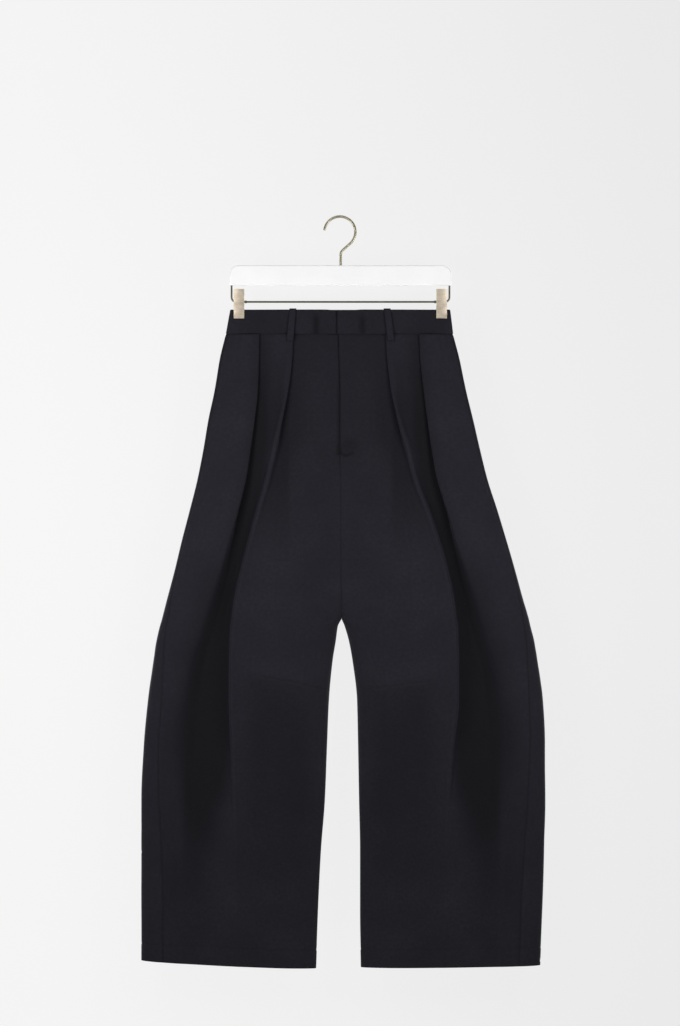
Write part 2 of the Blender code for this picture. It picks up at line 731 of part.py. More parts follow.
def rounded_bar():
    """The bar's front outline, pulled to its depth, with softened edges and three drilled sockets."""
    mesh = bmesh.new()
    outline = []
    corners = (
        (BAR_HALF - BAR_CORNER, BAR_TOP - BAR_CORNER, BAR_CORNER, 90, 0, 6),
        (BAR_HALF - BAR_EDGE, BAR_BOTTOM + BAR_EDGE, BAR_EDGE, 0, -90, 2),
        (-BAR_HALF + BAR_EDGE, BAR_BOTTOM + BAR_EDGE, BAR_EDGE, -90, -180, 2),
        (-BAR_HALF + BAR_CORNER, BAR_TOP - BAR_CORNER, BAR_CORNER, 180, 90, 6),
    )
    for x, z, radius, start, end, steps in corners:
        for k in range(steps + 1):
            spot = radius * heading(start + (end - start) * k / steps)
            outline.append(Vector((x + spot.x, -BAR_DEPTH / 2, z + spot.y)) * MM)
    face = mesh.faces.new([mesh.verts.new(point) for point in outline])
    pulled = bmesh.ops.extrude_face_region(mesh, geom=[face])["geom"]
    back = [item for item in pulled if isinstance(item, bmesh.types.BMVert)]
    bmesh.ops.translate(mesh, verts=back, vec=(0, BAR_DEPTH * MM, 0))
    rims = [edge for edge in mesh.edges if abs(edge.verts[0].co.y - edge.verts[1].co.y) < 1e-6]
    bmesh.ops.bevel(mesh, geom=rims, offset=BAR_EDGE * MM, segments=2, profile=0.5, affect="EDGES")
    bar = finish_mesh("hanger_bar", mesh, WHITE_COLOUR, 0.45)
    sockets = (
        ("cut_hook", STEM_X, BAR_TOP + 1, SOCKET_DEPTH + 1, HOOK_WIRE + GAP),
        ("cut_rod_left", ROD_END, BAR_BOTTOM + SOCKET_DEPTH, SOCKET_DEPTH + 1, ROD_RADIUS + GAP),
        ("cut_rod_right", -ROD_END, BAR_BOTTOM + SOCKET_DEPTH, SOCKET_DEPTH + 1, ROD_RADIUS + GAP),
    )
    for name, x, top, depth, radius in sockets:
        cut = bmesh.new()
        bmesh.ops.create_cone(
            cut, cap_ends=True, segments=16, radius1=radius * MM, radius2=radius * MM, depth=depth * MM
        )
        bmesh.ops.translate(cut, verts=cut.verts[:], vec=Vector((x, 0, top - depth / 2)) * MM)
        cutter = finish_mesh(name, cut, WHITE_COLOUR, 0.5)
        cutter.hide_render = True
        cutter.display_type = "WIRE"
        boolean = bar.modifiers.new(name, "BOOLEAN")
        boolean.operation = "DIFFERENCE"
        boolean.object = cutter
    return bar


def clip_plate(name, side, face):
    """A sprung plate of a clip: splayed finger end, narrow waist at the rod, and a rolled lip."""
    grip = BAND_WALL + GAP / 2 + GAP
    profile = (
        (CLIP_TOP, 3.2, CLIP_PLATE),
        (CLIP_TOP - 3, 2.7, CLIP_PLATE),
        (ROD_Z + 4, 0.4, CLIP_PLATE),
        (ROD_Z, 0, CLIP_PLATE),
        (ROD_Z - 6, 0.5, CLIP_PLATE),
        (WAIST_TOP + 3, 0.5, CLIP_PLATE),
        (WAIST_TOP - 3, 0, CLIP_PLATE),
        (CLIP_BOTTOM + CLIP_LIP * 1.5, 0, CLIP_PLATE),
        (CLIP_BOTTOM + CLIP_LIP, 0, CLIP_LIP),
        (CLIP_BOTTOM + CLIP_LIP * 0.4, 0, CLIP_LIP),
        (CLIP_BOTTOM, 0.4, CLIP_LIP * 0.5),
    )
    mesh = bmesh.new()
    middle = CLIP_X[side] * SIDES[side]
    rings = []
    for z, off, thick in profile:
        ring = []
        for x, depth in ((-1, off), (1, off), (1, off + thick), (-1, off + thick)):
            spot = Vector((middle + x * CLIP_WIDTH / 2, -face * (grip + depth), z))
            ring.append(mesh.verts.new(spot * MM))
        rings.append(ring)
    for a, b in zip(rings, rings[1:]):
        for k in range(4):
            j = (k + 1) % 4
            mesh.faces.new((a[k], a[j], b[j], b[k]))
    mesh.faces.new(rings[0])
    mesh.faces.new(rings[-1])
    return finish_mesh(name, mesh, METAL_COLOUR, METAL_ROUGH, 1.0)


def clip_spring(side):
    """The spring round the rod between the two plates, as the sleeve that its coils fill."""
    mesh = bmesh.new()
    steps = 16
    half = CLIP_WIDTH / 2 - 3
    middle = CLIP_X[side] * SIDES[side]
    rings = []
    for x, radius in (
        (-half, SPRING_OUTER),
        (half, SPRING_OUTER),
        (half, ROD_RADIUS + GAP),
        (-half, ROD_RADIUS + GAP),
    ):
        ring = []
        for k in range(steps):
            spot = radius * heading(360 * k / steps)
            ring.append(mesh.verts.new(Vector((middle + x, spot.x, ROD_Z + spot.y)) * MM))
        rings.append(ring)
    for a, b in ((0, 1), (1, 2), (2, 3), (3, 0)):
        for k in range(steps):
            j = (k + 1) % steps
            mesh.faces.new((rings[a][k], rings[a][j], rings[b][j], rings[b][k]))
    return finish_mesh("clip_spring_" + side, mesh, METAL_COLOUR, METAL_ROUGH, 1.0)


def main():
    for item in list(bpy.data.objects):
        bpy.data.objects.remove(item, do_unlink=True)
    for side in SIDES:
        for part in ("front", "back"):
            outer_rows, inner_rows = wall_rings(side, part)
            wall_mesh(part + "_" + side, outer_rows, inner_rows, CLOTH_COLOUR, CLOTH_ROUGH)
        waistband(side)
        clip_plate("clip_front_" + side, side, 1)
        clip_plate("clip_back_" + side, side, -1)
        clip_spring(side)
    fly_shield()
    loop_strip("loop_front_right", "right", "front", 76, 80.8)
    loop_strip("loop_front_left", "left", "front", 74.4, 80.8)
    loop_strip("loop_side_right", "right", "back", 112, 114)
    loop_strip("loop_side_left", "left", "back", 112, 114)
    loop_strip("loop_back", None, "back", 0, 0)
    rounded_bar()
    hanger_hook()
    hanger_rod()


main()
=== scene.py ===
# Barrel leg trousers on a clip hanger, dressed for the render.
# The cloth is worked out in millimetres: x outward from the middle line, depth toward the viewer,
# and drop down from the waistband's top edge. Left and right are the wearer's.
import math

import bmesh
import bpy
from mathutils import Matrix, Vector, noise


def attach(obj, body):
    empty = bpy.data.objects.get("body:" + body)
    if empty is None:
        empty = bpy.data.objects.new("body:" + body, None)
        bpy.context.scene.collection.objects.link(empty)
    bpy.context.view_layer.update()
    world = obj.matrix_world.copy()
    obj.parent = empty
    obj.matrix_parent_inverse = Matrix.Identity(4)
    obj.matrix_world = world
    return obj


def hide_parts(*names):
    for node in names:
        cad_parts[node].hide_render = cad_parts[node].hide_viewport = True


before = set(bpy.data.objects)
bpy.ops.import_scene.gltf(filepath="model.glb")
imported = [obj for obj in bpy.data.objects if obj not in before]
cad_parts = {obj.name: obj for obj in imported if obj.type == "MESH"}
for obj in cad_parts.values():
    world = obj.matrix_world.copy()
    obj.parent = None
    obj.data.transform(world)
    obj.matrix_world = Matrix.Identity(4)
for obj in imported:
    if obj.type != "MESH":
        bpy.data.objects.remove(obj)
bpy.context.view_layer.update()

bpy.ops.object.select_all(action="DESELECT")
mm = 0.001
waistSeam = 38  # drop of the seam under the waistband
sideSign = {"right": -1, "left": 1}

cloth = {
    "wall": 1.4,
    "gap": 0.3,
    "seamGap": 0.04,  # sewn edges all but touch
    "waistTop": -148.2,  # height of the waistband's top edge; the hook's crown is at 0
    "crotch": 492,
    "crotchSlope": 50,
    "crotchReach": 120,
    "crotchBlend": 8,
    "roundPull": 1.6,
    "seamSink": 0.6,  # a sewn seam pulls the cloth in by this much
    "seamReach": 3.4,
    # painted shade along sewn seams and the waist seam, and how far it reaches
    "seamPaintedShade": 0.55,
    "shadeReach": 1.3,
    "seamCalm": (14, 40),  # its waves fade toward the side seams and toward the waistband
    "drift": (0.5, 60, 90),  # height, width and length of its slow waves
    "seamStep": 0.3,  # the front's centre seam stands this far beside the back's, so neither shows light
}
fly = {
    "end": 232,
    "lapWidth": 3,
    "lapReach": 16,
    "fade": 40,
    "taper": 24,
    # painted shade at the fly: a dark line under the lap's edge, fainter just below the lap, along the lap's stitched
    # foot and in the soft dent above it
    "near": 20,  # cloth this close to the front edge takes the fly's line
    "edgePaintedShade": 1.5,  # over 1 widens the darkest part
    "edgePull": (0.52, 0.16),  # the line is wide at the waist and wider lower down
    "pullRows": (80, 60),
    "quiet": 0.7,  # just below the lap the seam lies flat
    "quietRows": (14, 11),
    "tail": ((-0.8, 220), (0.6, 226), (3.0, 230.4), (6.8, 232.2), (13, 231), (20, 227.5)),  # stitched foot of the lap
    "tailSink": 0.4,
    "tailWidth": 3.3,
    "hollow": (13, 215),  # soft dent above it
    "hollowReach": (25, 20),
    "hollowEnd": (60, 45),
    "hollowDepth": 0.35,
    "hollowPaintedShade": 0.62,
    "hollowFoot": ((-2, 218), (3, 229), (12, 229.5), (24, 224), (40, 214)),
}
hem = {
    "depth": 29,
    "wall": 2.6,
    "right": (1053, 1039.8, 2.4),  # drop at the inner and at the outer edge, and the sag between them
    "left": (1050.4, 1047.4, 1.5),
    "knee": 700,
    "last": 1048,
    "roundness": 1.2,
    "step": 0.35,
    "ditch": 0.3,
    "ditchWidth": 1.6,
    # painted shade along the hem's ditch
    "ditchPaintedShade": 0.14,
}

# where each leg's outer edge, inner edge and two pleat crests stand, out from the middle line
legOutline = {
    "right": """
drop outer inner pleatB pleatA
  38 183.9   3.6   76.0  130.0
  80 194.2   2.0   78.0  131.0
 127 201.7   0.8   84.0  132.5
 175 211.7   0.8   93.2  137.5
 223 219.7   0.8  102.0  144.0
 271 229.2   0.0  113.0  151.5
 319 241.2   0.0  127.5  163.0
 367 253.7   0.0  141.0  176.0
 415 265.2  -0.4  153.0  189.5
 463 277.7  -1.2  163.8  204.5
 492 285.0  -1.6  168.0  213.0
 505 288.7   3.6  169.6  217.0
 527 293.7   6.6  170.8  225.0
 559 299.2  11.8  171.6  236.0
 623 308.2  17.8  171.8  250.0
 695 315.2  20.8  168.8  256.0
 783 318.8  24.3  167.0  258.0
 863 318.8  30.6  165.0  258.0
 959 318.8  35.4  164.0  258.0
1048 318.8  38.6  163.0  258.0
""",
    "left": """
drop outer inner pleatB pleatA
  38 180.4  -3.6   72.8  126.0
  80 191.5  -2.0   75.5  128.5
 127 201.0  -0.8   81.5  133.5
 175 212.5  -0.8   91.5  139.5
 223 223.5  -0.8  104.2  146.0
 271 235.5   0.0  116.2  155.0
 319 251.0   0.0  135.2  169.5
 367 265.5   0.0  151.5  183.0
 415 279.5   0.4  165.0  198.0
 463 292.5   1.2  175.0  214.0
 492 301.0   1.6  179.0  222.0
 505 304.0   6.0  181.0  226.0
 527 309.5  12.4  181.8  233.0
 559 315.0  18.4  182.8  242.0
 623 324.0  25.8  182.5  256.0
 695 327.6  27.4  175.0  261.0
 783 327.8  29.0  168.5  262.0
 863 326.0  30.6  166.0  261.0
 959 322.8  30.6  165.0  259.0
1048 319.6  32.2  164.0  258.0
""",
}
legDepth = """
drop seam bulge panel edge backSeam back sideSeam
  38  6.0   6.0   5.0  0.0      5.0  4.5        3
  80  8.0   7.5   7.5  0.0      8.0  8.5        3
 127 10.0   9.5  10.0  0.5     10.5 11.5        3
 175 12.0  12.0  12.5  1.0     12.5 14.5        3
 223 13.0  15.5  15.0  1.0     13.5 17.0        3
 271 13.5  18.5  17.5  1.5     13.5 19.0        3
 319 13.0  21.5  19.0  1.5     13.0 21.0        3
 367 12.0  24.0  20.0  1.5     12.0 22.0        3
 415  9.5  26.0  20.0  1.5      9.5 22.0        4
 463  5.5  27.5  19.5  1.5      5.5 21.0        6
 492  1.8  27.5  19.0  1.0      1.8 20.0        9
 505  0.0  27.5  18.5  1.0      0.0 19.5       10
 527  0.0  27.5  18.0  0.5      0.0 19.5       12
 559  0.0  27.5  17.0  0.5      0.0 19.0       16
 623  0.0  27.0  16.5  0.0      0.0 18.0       22
 695  0.0  25.0  15.0  0.0      0.0 17.0       24
 783  0.0  21.5  14.0  0.0      0.0 16.0       28
 863  0.0  19.0  14.0  0.0      0.0 15.0       32
 959  0.0  17.0  13.5  0.0      0.0 14.0       34
1048  0.0  16.0  13.0  0.0      0.0 13.5       34
"""
# a pleat's section going outward: foot, turn up, flank, then fall over the crest
pleatForm = {
    "pleatB": """
drop foot turn flank fall bend
  38  4.0  180  12.0    2  1.0
  80  4.6  176  11.0    6  1.1
 127  5.8  164   9.0   12  1.3
 175  8.0  125   6.0   22  1.8
 223 11.5   75   4.0   42  4.0
 271 14.5   45   4.5   60  4.8
 319 17.5   25   5.5   72  4.6
 367 20.5   16   6.0   80  4.3
 415 23.0   13   6.0   84  4.3
 463 24.5   11   6.0   87  4.2
 492 25.0   10   6.0   88  4.2
 505 25.2   10   6.0   88  4.2
 527 25.5   10   6.0   88  4.2
 559 26.0   10   6.0   88  4.2
 623 26.0   10   6.0   85  4.4
 655 25.4   10   6.0   80  4.6
 695 24.0   10   6.0   66  5.4
 735 22.4    9   6.0   52  6.4
 783 20.5    9   6.0   31  8.5
 815 19.6    8   6.0   17 11.5
 863 18.0    8   6.0   10 14.0
 959 16.2    7   6.0    7 16.0
1048 15.2    6   6.0    6 17.0
""",
    "pleatA": """
drop foot turn flank fall bend
  38  4.0  180  14.0    0  1.0
  80  4.4  178  13.0    0  1.1
 127  4.8  172  12.0    0  1.3
 175  5.6  164  11.0    0  1.5
 223  6.0  154  10.0    2  1.8
 271  6.0  134   9.0    3  2.2
 319  5.5  104   9.0    3  3.0
 367  4.5   76   9.5    4  4.6
 415  3.5   56  12.0    4  7.0
 463  3.0   46  14.5    4  9.0
 492  2.8   42  15.5    4 10.0
 505  2.6   40  16.0    4 10.5
 527  2.5   38  17.0    4 11.0
 559  2.5   34  18.0    3 12.0
 623  3.0   27  21.0    2 15.0
 695  5.0   19  20.0    2 18.0
 783  8.5   13  16.0    2 20.0
 863 11.0    9  12.0    2 20.0
 959 12.5    7  10.0    2 20.0
1048 13.0    6  10.0    2 20.0
""",
}
panelGrid = {
    "sectionStep": 3,  # sections are worked out this far apart, and rows are read between them
    "rowStep": 6.5,
    "bendSteps": 7,
    "ridge": (13, 19),  # a pleat's points between these bend over its crest
    "seamStops": (0, 0.7, 1.7, 3.2, 5.5),
    "edgeTurn": 30,
    "centreColumns": 26,
    "pleatStops": (0, 1.2, 2.6),
    "pleatColumns": 12,
    "outerColumns": 18,
    "turnColumns": 20,
    "backColumns": 56,
    "fullFold": 8,  # cloth this far below its crests is wholly inside a fold
}
# painted shade where the pleats keep the cloth from the light
pleatPaintedShade = {
    "middle": 0.62,
    "middleTop": (44, 164),
    "middleEnd": (330, 450),
    "inner": 0.5,  # the main panel beside the inner pleat's ridge
    "innerTop": (90, 175),
    "innerEnd": (245, 430),
    "innerX": (78, 85),
    "innerFold": 0.3,
    "kneeX": (30, 165),
    "kneeEase": 40,
    "closedTurn": (50, 60),  # a pleat turned back further than this is a closed fold
    "gap": 3.0,
    "gapShade": 0.62,
    "gapPoints": 9,
    "outer": 0.3,
    "outerReach": 10,
    "spread": 6.5,
    "besideOuter": 0.6,  # the outer panel is darkest along the outer pleat
    "besideOuterReach": 15,
    "beside": 0.95,  # just past the inner pleat's ridge
    "besideTop": (110, 165),
    "besideEnd": (235, 300),
    "besideGap": 5,
    "besideReach": 13,
}
# painted shade on the cloth that hangs back from the light: the main panel, its middle below the knee dart, and the
# outer panel
panelPaintedShade = """
drop main knee outer
  38 0.22    0     0
 223 0.24    0     0
 303 0.16    0     0
 400 0.06    0     0
 560 0.05    0     0
 590 0.07    0     0
 602 0.12 0.27     0
 690 0.17 0.35  0.07
 783 0.19 0.29  0.18
 880 0.15 0.10  0.21
 960 0.07    0  0.12
1048    0    0     0
"""
# rows stand closer together where the cloth turns quickly
closeRows = {
    "waist seam": (38, 38.7, 39.8, 41.5, 44),
    "fly end": tuple(218 + 1.2 * k for k in range(15)) + tuple(236 + 2 * k for k in range(5)),
    "crotch": tuple(484 + 2 * k for k in range(16)),
    "knee dart": tuple(595 + k for k in (-12, -8, -5, -3, -1.8, -0.9, -0.3, 0.3, 0.9, 1.8, 3, 5, 8, 12)),
    "hem line": tuple(1019 + k for k in (-4, -2.2, -1.2, -0.5, 0.3, 1, 2.2, 4)),
    "hem fold": (1043, 1045.4, 1046.8, 1047.3, 1047.7, 1048),
}
# the dart's line from the inseam up and outward: own x and drop
kneeDart = {
    "row": 595,
    "reach": 70,
    "sink": 0.3,
    "width": 1.5,
    # painted shade along the dart's line
    "shade": 0.16,
    "swell": 1.3,  # the cloth above it fills out
    "swellReach": 26,
    "swellEase": (5, 30),  # above the line, and from the inseam
    "endFade": (40, 6),  # it fades over the last stretch, to a little past its end
    "right": ((16.8, 608.8), (74.4, 594.4), (148.0, 581.6)),
    "left": ((28.0, 608.8), (90.0, 599.0), (160.8, 591.2)),
}


# rows of named columns, in which words stay words and the rest are numbers
def readRows(text):
    names, *lines = (line.split() for line in text.strip().splitlines())
    return [{name: cell if cell.isalpha() else float(cell) for name, cell in zip(names, line)} for line in lines]


def readTable(text):
    rows = readRows(text)
    return {name: [row[name] for row in rows] for name in rows[0]}


outlines = {side: readTable(text) for side, text in legOutline.items()}
depths = readTable(legDepth)
pleats = {name: readTable(text) for name, text in pleatForm.items()}
paintedPanelShades = readTable(panelPaintedShade)


# a column's value at a drop, on a smooth curve that doesn't pass its rows
def readAt(columns, name, drop):
    xs, ys = columns["drop"], columns[name]
    if drop <= xs[0]:
        return ys[0]
    if drop >= xs[-1]:
        return ys[-1]
    i = max(k for k in range(len(xs) - 1) if xs[k] <= drop)

    def tangent(k):
        a, b = ((ys[j + 1] - ys[j]) / (xs[j + 1] - xs[j]) for j in (max(k - 1, 0), min(k, len(xs) - 2)))
        return 0 if a * b <= 0 else 2 * a * b / (a + b)

    width = xs[i + 1] - xs[i]
    return bridge(ys[i], width * tangent(i), ys[i + 1], width * tangent(i + 1), (drop - xs[i]) / width)


def readAll(columns, names, drop):
    return (readAt(columns, name, drop) for name in names.split())


def take(source, names):
    return (source[name] for name in names.split())


def heading(degrees):
    return Vector((math.cos(math.radians(degrees)), math.sin(math.radians(degrees))))


def clamp(value):
    return min(1, max(0, value))


def bell(value):
    return math.exp(-value * value)


# a cubic from start to end, with the slopes u and v there
def bridge(start, u, end, v, t):
    level = start * (2 * t**3 - 3 * t**2 + 1) + end * (3 * t**2 - 2 * t**3)
    return level + u * (t**3 - 2 * t**2 + t) + v * (t**3 - t**2)


def runLengths(points):
    lengths = [0]
    for a, b in zip(points, points[1:]):
        lengths.append(lengths[-1] + (b - a).length)
    return lengths


# height at x of a line through (x, y) spots, level past its ends
def lineAt(spots, x):
    x = min(max(x, spots[0][0]), spots[-1][0])
    (x1, y1), (x2, y2) = next((a, b) for a, b in zip(spots, spots[1:]) if x <= b[0])
    return y1 + (y2 - y1) * (x - x1) / (x2 - x1)


def smoothStep(value):
    t = clamp(value)
    return t * t * (3 - 2 * t)


# a soft line from start to end, without its first point; ease crowds the points at one end
def softLine(start, startHeading, end, endHeading, count, ease=1.0):
    size = Vector((abs(end.x - start.x), cloth["roundPull"] * abs(end.y - start.y)))
    u, v = heading(startHeading) * size, heading(endHeading) * size
    steps = [k / count for k in range(1, count + 1)]
    steps = [t**ease if ease > 0 else 1 - (1 - t) ** -ease for t in steps]
    return [bridge(start, u, end, v, t) for t in steps]


# the same line again, with points at set distances from each end and evenly between
def spaced(points, count, startStops=(0,), endStops=(0,)):
    lengths = runLengths(points)
    first, last = startStops[-1], lengths[-1] - endStops[-1]
    wants = list(startStops) + [first + (last - first) * k / count for k in range(1, count)]
    wants += [lengths[-1] - stop for stop in reversed(endStops)]
    result = []
    i = 0
    for want in wants:
        while i < len(points) - 2 and lengths[i + 1] < want:
            i += 1
        span = lengths[i + 1] - lengths[i]
        result.append(points[i].lerp(points[i + 1], (want - lengths[i]) / span if span else 0))
    return result


def crotchSlope(drop):
    return cloth["crotchSlope"] * smoothStep((drop - cloth["crotch"]) / cloth["crotchReach"] + 1)


def wallAt(drop):
    return hem["wall"] if drop > hem["last"] - hem["depth"] - 1 else cloth["wall"]


def pleatPoints(name, crestX, drop):
    foot, turn, flank, fall, bend = readAll(pleats[name], "foot turn flank fall bend", drop)
    lead = flank * (0.4 + 0.6 * turn / 180)  # longer where the pleat is folded flat
    steps = panelGrid["bendSteps"]
    points = [Vector((lead * k / 2, 0)) for k in range(3)]
    centre = Vector((lead, bend))
    points += [centre + bend * heading(turn * k / steps - 90) for k in range(1, steps + 1)]
    points += [points[-1] + flank * heading(turn) * k / 3 for k in (1, 2, 3)]
    centre = points[-1] + bend * heading(turn - 90)
    points += [centre - bend * heading(turn - (turn + fall) * k / steps - 90) for k in range(1, steps + 1)]
    points += [points[-1] + lead * heading(-fall) * k / 2 for k in (1, 2)]
    shift = Vector((crestX - centre.x + bend * math.sin(math.radians(min(turn, 90))), foot))
    loose = 1 - smoothStep((turn - 30) / 70)  # folded cloth takes no creases
    return [point + shift for point in points], -fall, [loose] * len(points)


# one leg's cloth at a drop: front points, how loose each is, back points, and the side seam's normal
def legSection(side, drop):
    outer, inner, crestB, crestA = readAll(outlines[side], "outer inner pleatB pleatA", drop)
    deep = {name: readAt(depths, name, drop) for name in depths}
    split = smoothStep((drop - cloth["crotch"]) / cloth["crotchBlend"])
    half, gap = cloth["wall"] / 2, cloth["seamGap"] / 2
    slope, stops = crotchSlope(drop), panelGrid["seamStops"]
    pleatB, fallB, looseB = pleatPoints("pleatB", crestB, drop)
    pleatA, fallA, looseA = pleatPoints("pleatA", crestA, drop)
    innerX = inner + gap + (half - gap) * split
    nearX = innerX + sideSign[side] * cloth["seamStep"] * (1 - split)
    near = Vector((nearX, deep["seam"] * (1 - split) + gap * split))
    middle = Vector(((near.x + pleatB[0].x) / 2, deep["bulge"]))
    line = [near] + softLine(near, slope + (90 - slope) * split, middle, 0, 16, 1 + 0.4 * split)
    front = spaced(line + softLine(middle, 0, pleatB[0], 0, 14), panelGrid["centreColumns"], stops)
    starts = [len(front) - 1]
    loose = [1.0] * (len(front) - 1) + looseB
    front += pleatB[1:]
    line = [pleatB[-1]] + softLine(pleatB[-1], fallB, pleatA[0], 0, 24)
    line = spaced(line, panelGrid["pleatColumns"], panelGrid["pleatStops"])[1:]
    loose += [1.0] * (len(line) - 1) + looseA
    front += line
    starts.append(len(front) - 1)
    front += pleatA[1:]
    edge = Vector((outer - half, deep["edge"] - (wallAt(drop) - cloth["wall"]) / 2))
    panel = Vector(((pleatA[-1].x + edge.x) / 2, deep["panel"]))
    line = softLine(pleatA[-1], fallA, panel, -3, 10) + softLine(panel, -3, edge, -90, 48)
    seamX = edge.x - deep["sideSeam"]
    cut = next(k for k, point in enumerate(line) if point.x > seamX)
    before, after = line[cut - 1], line[cut]
    seam = before.lerp(after, (seamX - before.x) / (after.x - before.x))
    along = (after - before).normalized()
    toSeam = [pleatA[-1]] + line[:cut] + [seam - along * gap]
    front += spaced(toSeam, panelGrid["outerColumns"], (0,), stops)[1:]
    loose += [1.0] * (len(front) - len(loose))
    far = Vector((innerX, -deep["backSeam"] * (1 - split) - gap * split))
    farHeading = 180 - slope + (slope - 90) * split
    deepest = Vector((edge.x * 0.55 + far.x * 0.45, -deep["back"]))
    turned = softLine(edge, -90, deepest, 180, 24, 1.4)
    flat = next(k for k, point in enumerate(turned) if point.x < edge.x - panelGrid["edgeTurn"])
    back = spaced([seam + along * gap] + line[cut:] + turned[:flat], panelGrid["turnColumns"], stops)
    rest = [back[-1]] + turned[flat:] + softLine(deepest, 180, far, farHeading, 24, -1 - 0.4 * split)
    back += spaced(rest, panelGrid["backColumns"], (0,), stops)[1:]
    normal = Vector((-along.y, along.x))
    return {"front": front, "loose": loose, "starts": starts, "back": back, "seamNormal": normal}


# the left front laps over the right one down to the fly's end
def lapFront(side, drop, points):
    if drop > cloth["crotch"]:
        return points
    reach = fly["lapWidth"] * clamp((fly["end"] - drop) / fly["taper"]) if side == "right" else 0
    lift = (cloth["wall"] / 2 + cloth["gap"]) * clamp(1 - (drop - fly["end"]) / fly["fade"]) * sideSign[side]
    amounts = [smoothStep(1 - (point.x - points[0].x) / fly["lapReach"]) for point in points]
    return [point + Vector((-reach, lift)) * amount for point, amount in zip(points, amounts)]


def acrossNormals(points, first, last):
    runs = [(b - a).normalized() for a, b in zip(points, points[1:])]
    result = [first]
    for before, after in zip(runs, runs[1:]):
        along = (before + after).normalized()
        result.append(Vector((-along.y, along.x)))
    return result + [last]


# a point's height, with the hem's tilt and sag growing below the knee
def levelZ(side, drop, x):
    innerHem, outerHem, sag = hem[side]
    share = clamp(x / readAt(outlines[side], "outer", drop))
    tilt = innerHem + (outerHem - innerHem) * share + 4 * sag * share * (1 - share) - hem["last"]
    return cloth["waistTop"] - drop - tilt * max(0, (drop - hem["knee"]) / (hem["last"] - hem["knee"])) ** 2


def place(side, point, z):
    return Vector((sideSign[side] * point.x, -point.y, z)) * mm


# soft folds, listed one by one: from one end to the other in own x and drop, with the bow of the line,
# half width, height (a trough is under zero) and how uneven it is
creaseTable = {
    "front": """
side   x1 drop1  x2 drop2 bow width height uneven
both   20   250  70   120   6    11   -0.9    0.4
both   12   330  60   240  10    13    0.8    0.4
both   10   470 110   330  14    16   -1.6    0.4
both   14   520 130   410  12    18    1.4    0.4
both   22   560 150   480  10    14   -1.3    0.5
right  30   680 120   640  -8    18   -0.9    0.5
left   40   700 140   650  -8    18   -0.9    0.5
right 165   812 172   905   0     9    1.5    0.3
left  164   808 188   912   0     9    1.6    0.3
both   60   820 150   780   8    22    0.9    0.5
both   40   930 150   880  -8    24   -0.9    0.5
both  200   640 290   560   8    16    0.9    0.5
both  215   760 300   700   6    18   -0.8    0.5
both  150   300 160   180   3     8   -0.7    0.4
both  170   240 200   140   4    10    0.8    0.4
""",
    "back": """
side  x1 drop1  x2 drop2 bow width height uneven
both  10   480 120   350  14    18   -1.8    0.4
both  16   530 150   430  12    18    1.5    0.4
both  24   570 170   500  10    14   -1.4    0.5
both  30   300  90   140   8    16   -1.0    0.4
both 120   280 180   120   8    18    1.0    0.4
both  60   660 180   630  -8    20   -1.0    0.5
both  70   820 200   780   8    24    1.0    0.5
both  60   940 220   900  -8    26   -1.0    0.5
both 230   620 300   520   8    18    1.0    0.5
""",
}
creaseLists = {part: readRows(text) for part, text in creaseTable.items()}


def creaseHeight(crease, spot, seed):
    start = Vector((crease["x1"], crease["drop1"]))
    span = Vector((crease["x2"], crease["drop2"])) - start
    away = spot - start
    t = away.dot(span) / span.length_squared
    past, ease = 0.15, 0.35  # a crease runs a little past its ends and fades there
    sideReach, unevenLength = 2.4, 40
    if t < -past or t > 1 + past:
        return 0
    off = (away.x * span.y - away.y * span.x) / span.length - crease["bow"] * 4 * t * (1 - t)
    if abs(off) > sideReach * crease["width"]:
        return 0
    fade = smoothStep((t + past) / ease) * smoothStep((1 + past - t) / ease)
    uneven = 1 + crease["uneven"] * 2 * noise.noise(Vector((t * span.length / unevenLength, seed, 3.7)))
    return crease["height"] * uneven * fade * bell(off / crease["width"])


# rows near the knee dart bend to follow it
def dartShift(side, x, row):
    line = lineAt(kneeDart[side], x) - kneeDart["row"]
    return line * smoothStep(1 - abs(row - kneeDart["row"]) / kneeDart["reach"])


# the dart's sink and swell, and the painted shade along its line
def dartHeight(side, x, row):
    first, last = kneeDart[side][0][0], kneeDart[side][-1][0]
    (rowEase, ease), (fadeReach, past) = take(kneeDart, "swellEase endFade")
    fade = smoothStep((last + past - x) / fadeReach)
    off = row - kneeDart["row"]
    line = bell(off / kneeDart["width"]) * fade
    swell = kneeDart["swell"] * bell(off / kneeDart["swellReach"])
    swell *= smoothStep(-off / rowEase) * smoothStep((x - first) / ease) * fade
    return swell - kneeDart["sink"] * line, kneeDart["shade"] * line


def awayFrom(line, spot):
    gaps = []
    for a, b in zip(line, line[1:]):
        away, span = spot - Vector(a), Vector(b) - Vector(a)
        gaps.append((away - span * clamp(away.dot(span) / span.length_squared)).length)
    return min(gaps)


# the stitched foot of the fly's lap and the soft dent above it: how far they sink the cloth, and the painted shade
# along the foot and in the dent
def flyHeight(x, row):
    (middle, middleRow), (wide, tall), (endX, endRow) = take(fly, "hollow hollowReach hollowEnd")
    if abs(row - middleRow) > endRow or x > endX:
        return 0, 0
    line = bell(awayFrom(fly["tail"], Vector((x, row))) / fly["tailWidth"])
    dent = bell((x - middle) / wide) * bell((row - middleRow) / tall)
    above = smoothStep((lineAt(fly["hollowFoot"], x) + 3 - row) / 6)
    return -fly["tailSink"] * line - fly["hollowDepth"] * dent, max(line, fly["hollowPaintedShade"] * dent * above)


def panelRows():
    tall = hem["last"] - waistSeam
    steps = int(tall / panelGrid["rowStep"])
    rows = {round(waistSeam + tall * k / steps, 3) for k in range(steps + 1)}
    close = set(sum(closeRows.values(), ()))
    return sorted({row for row in rows if min(abs(row - other) for other in close) > 1.5} | close)


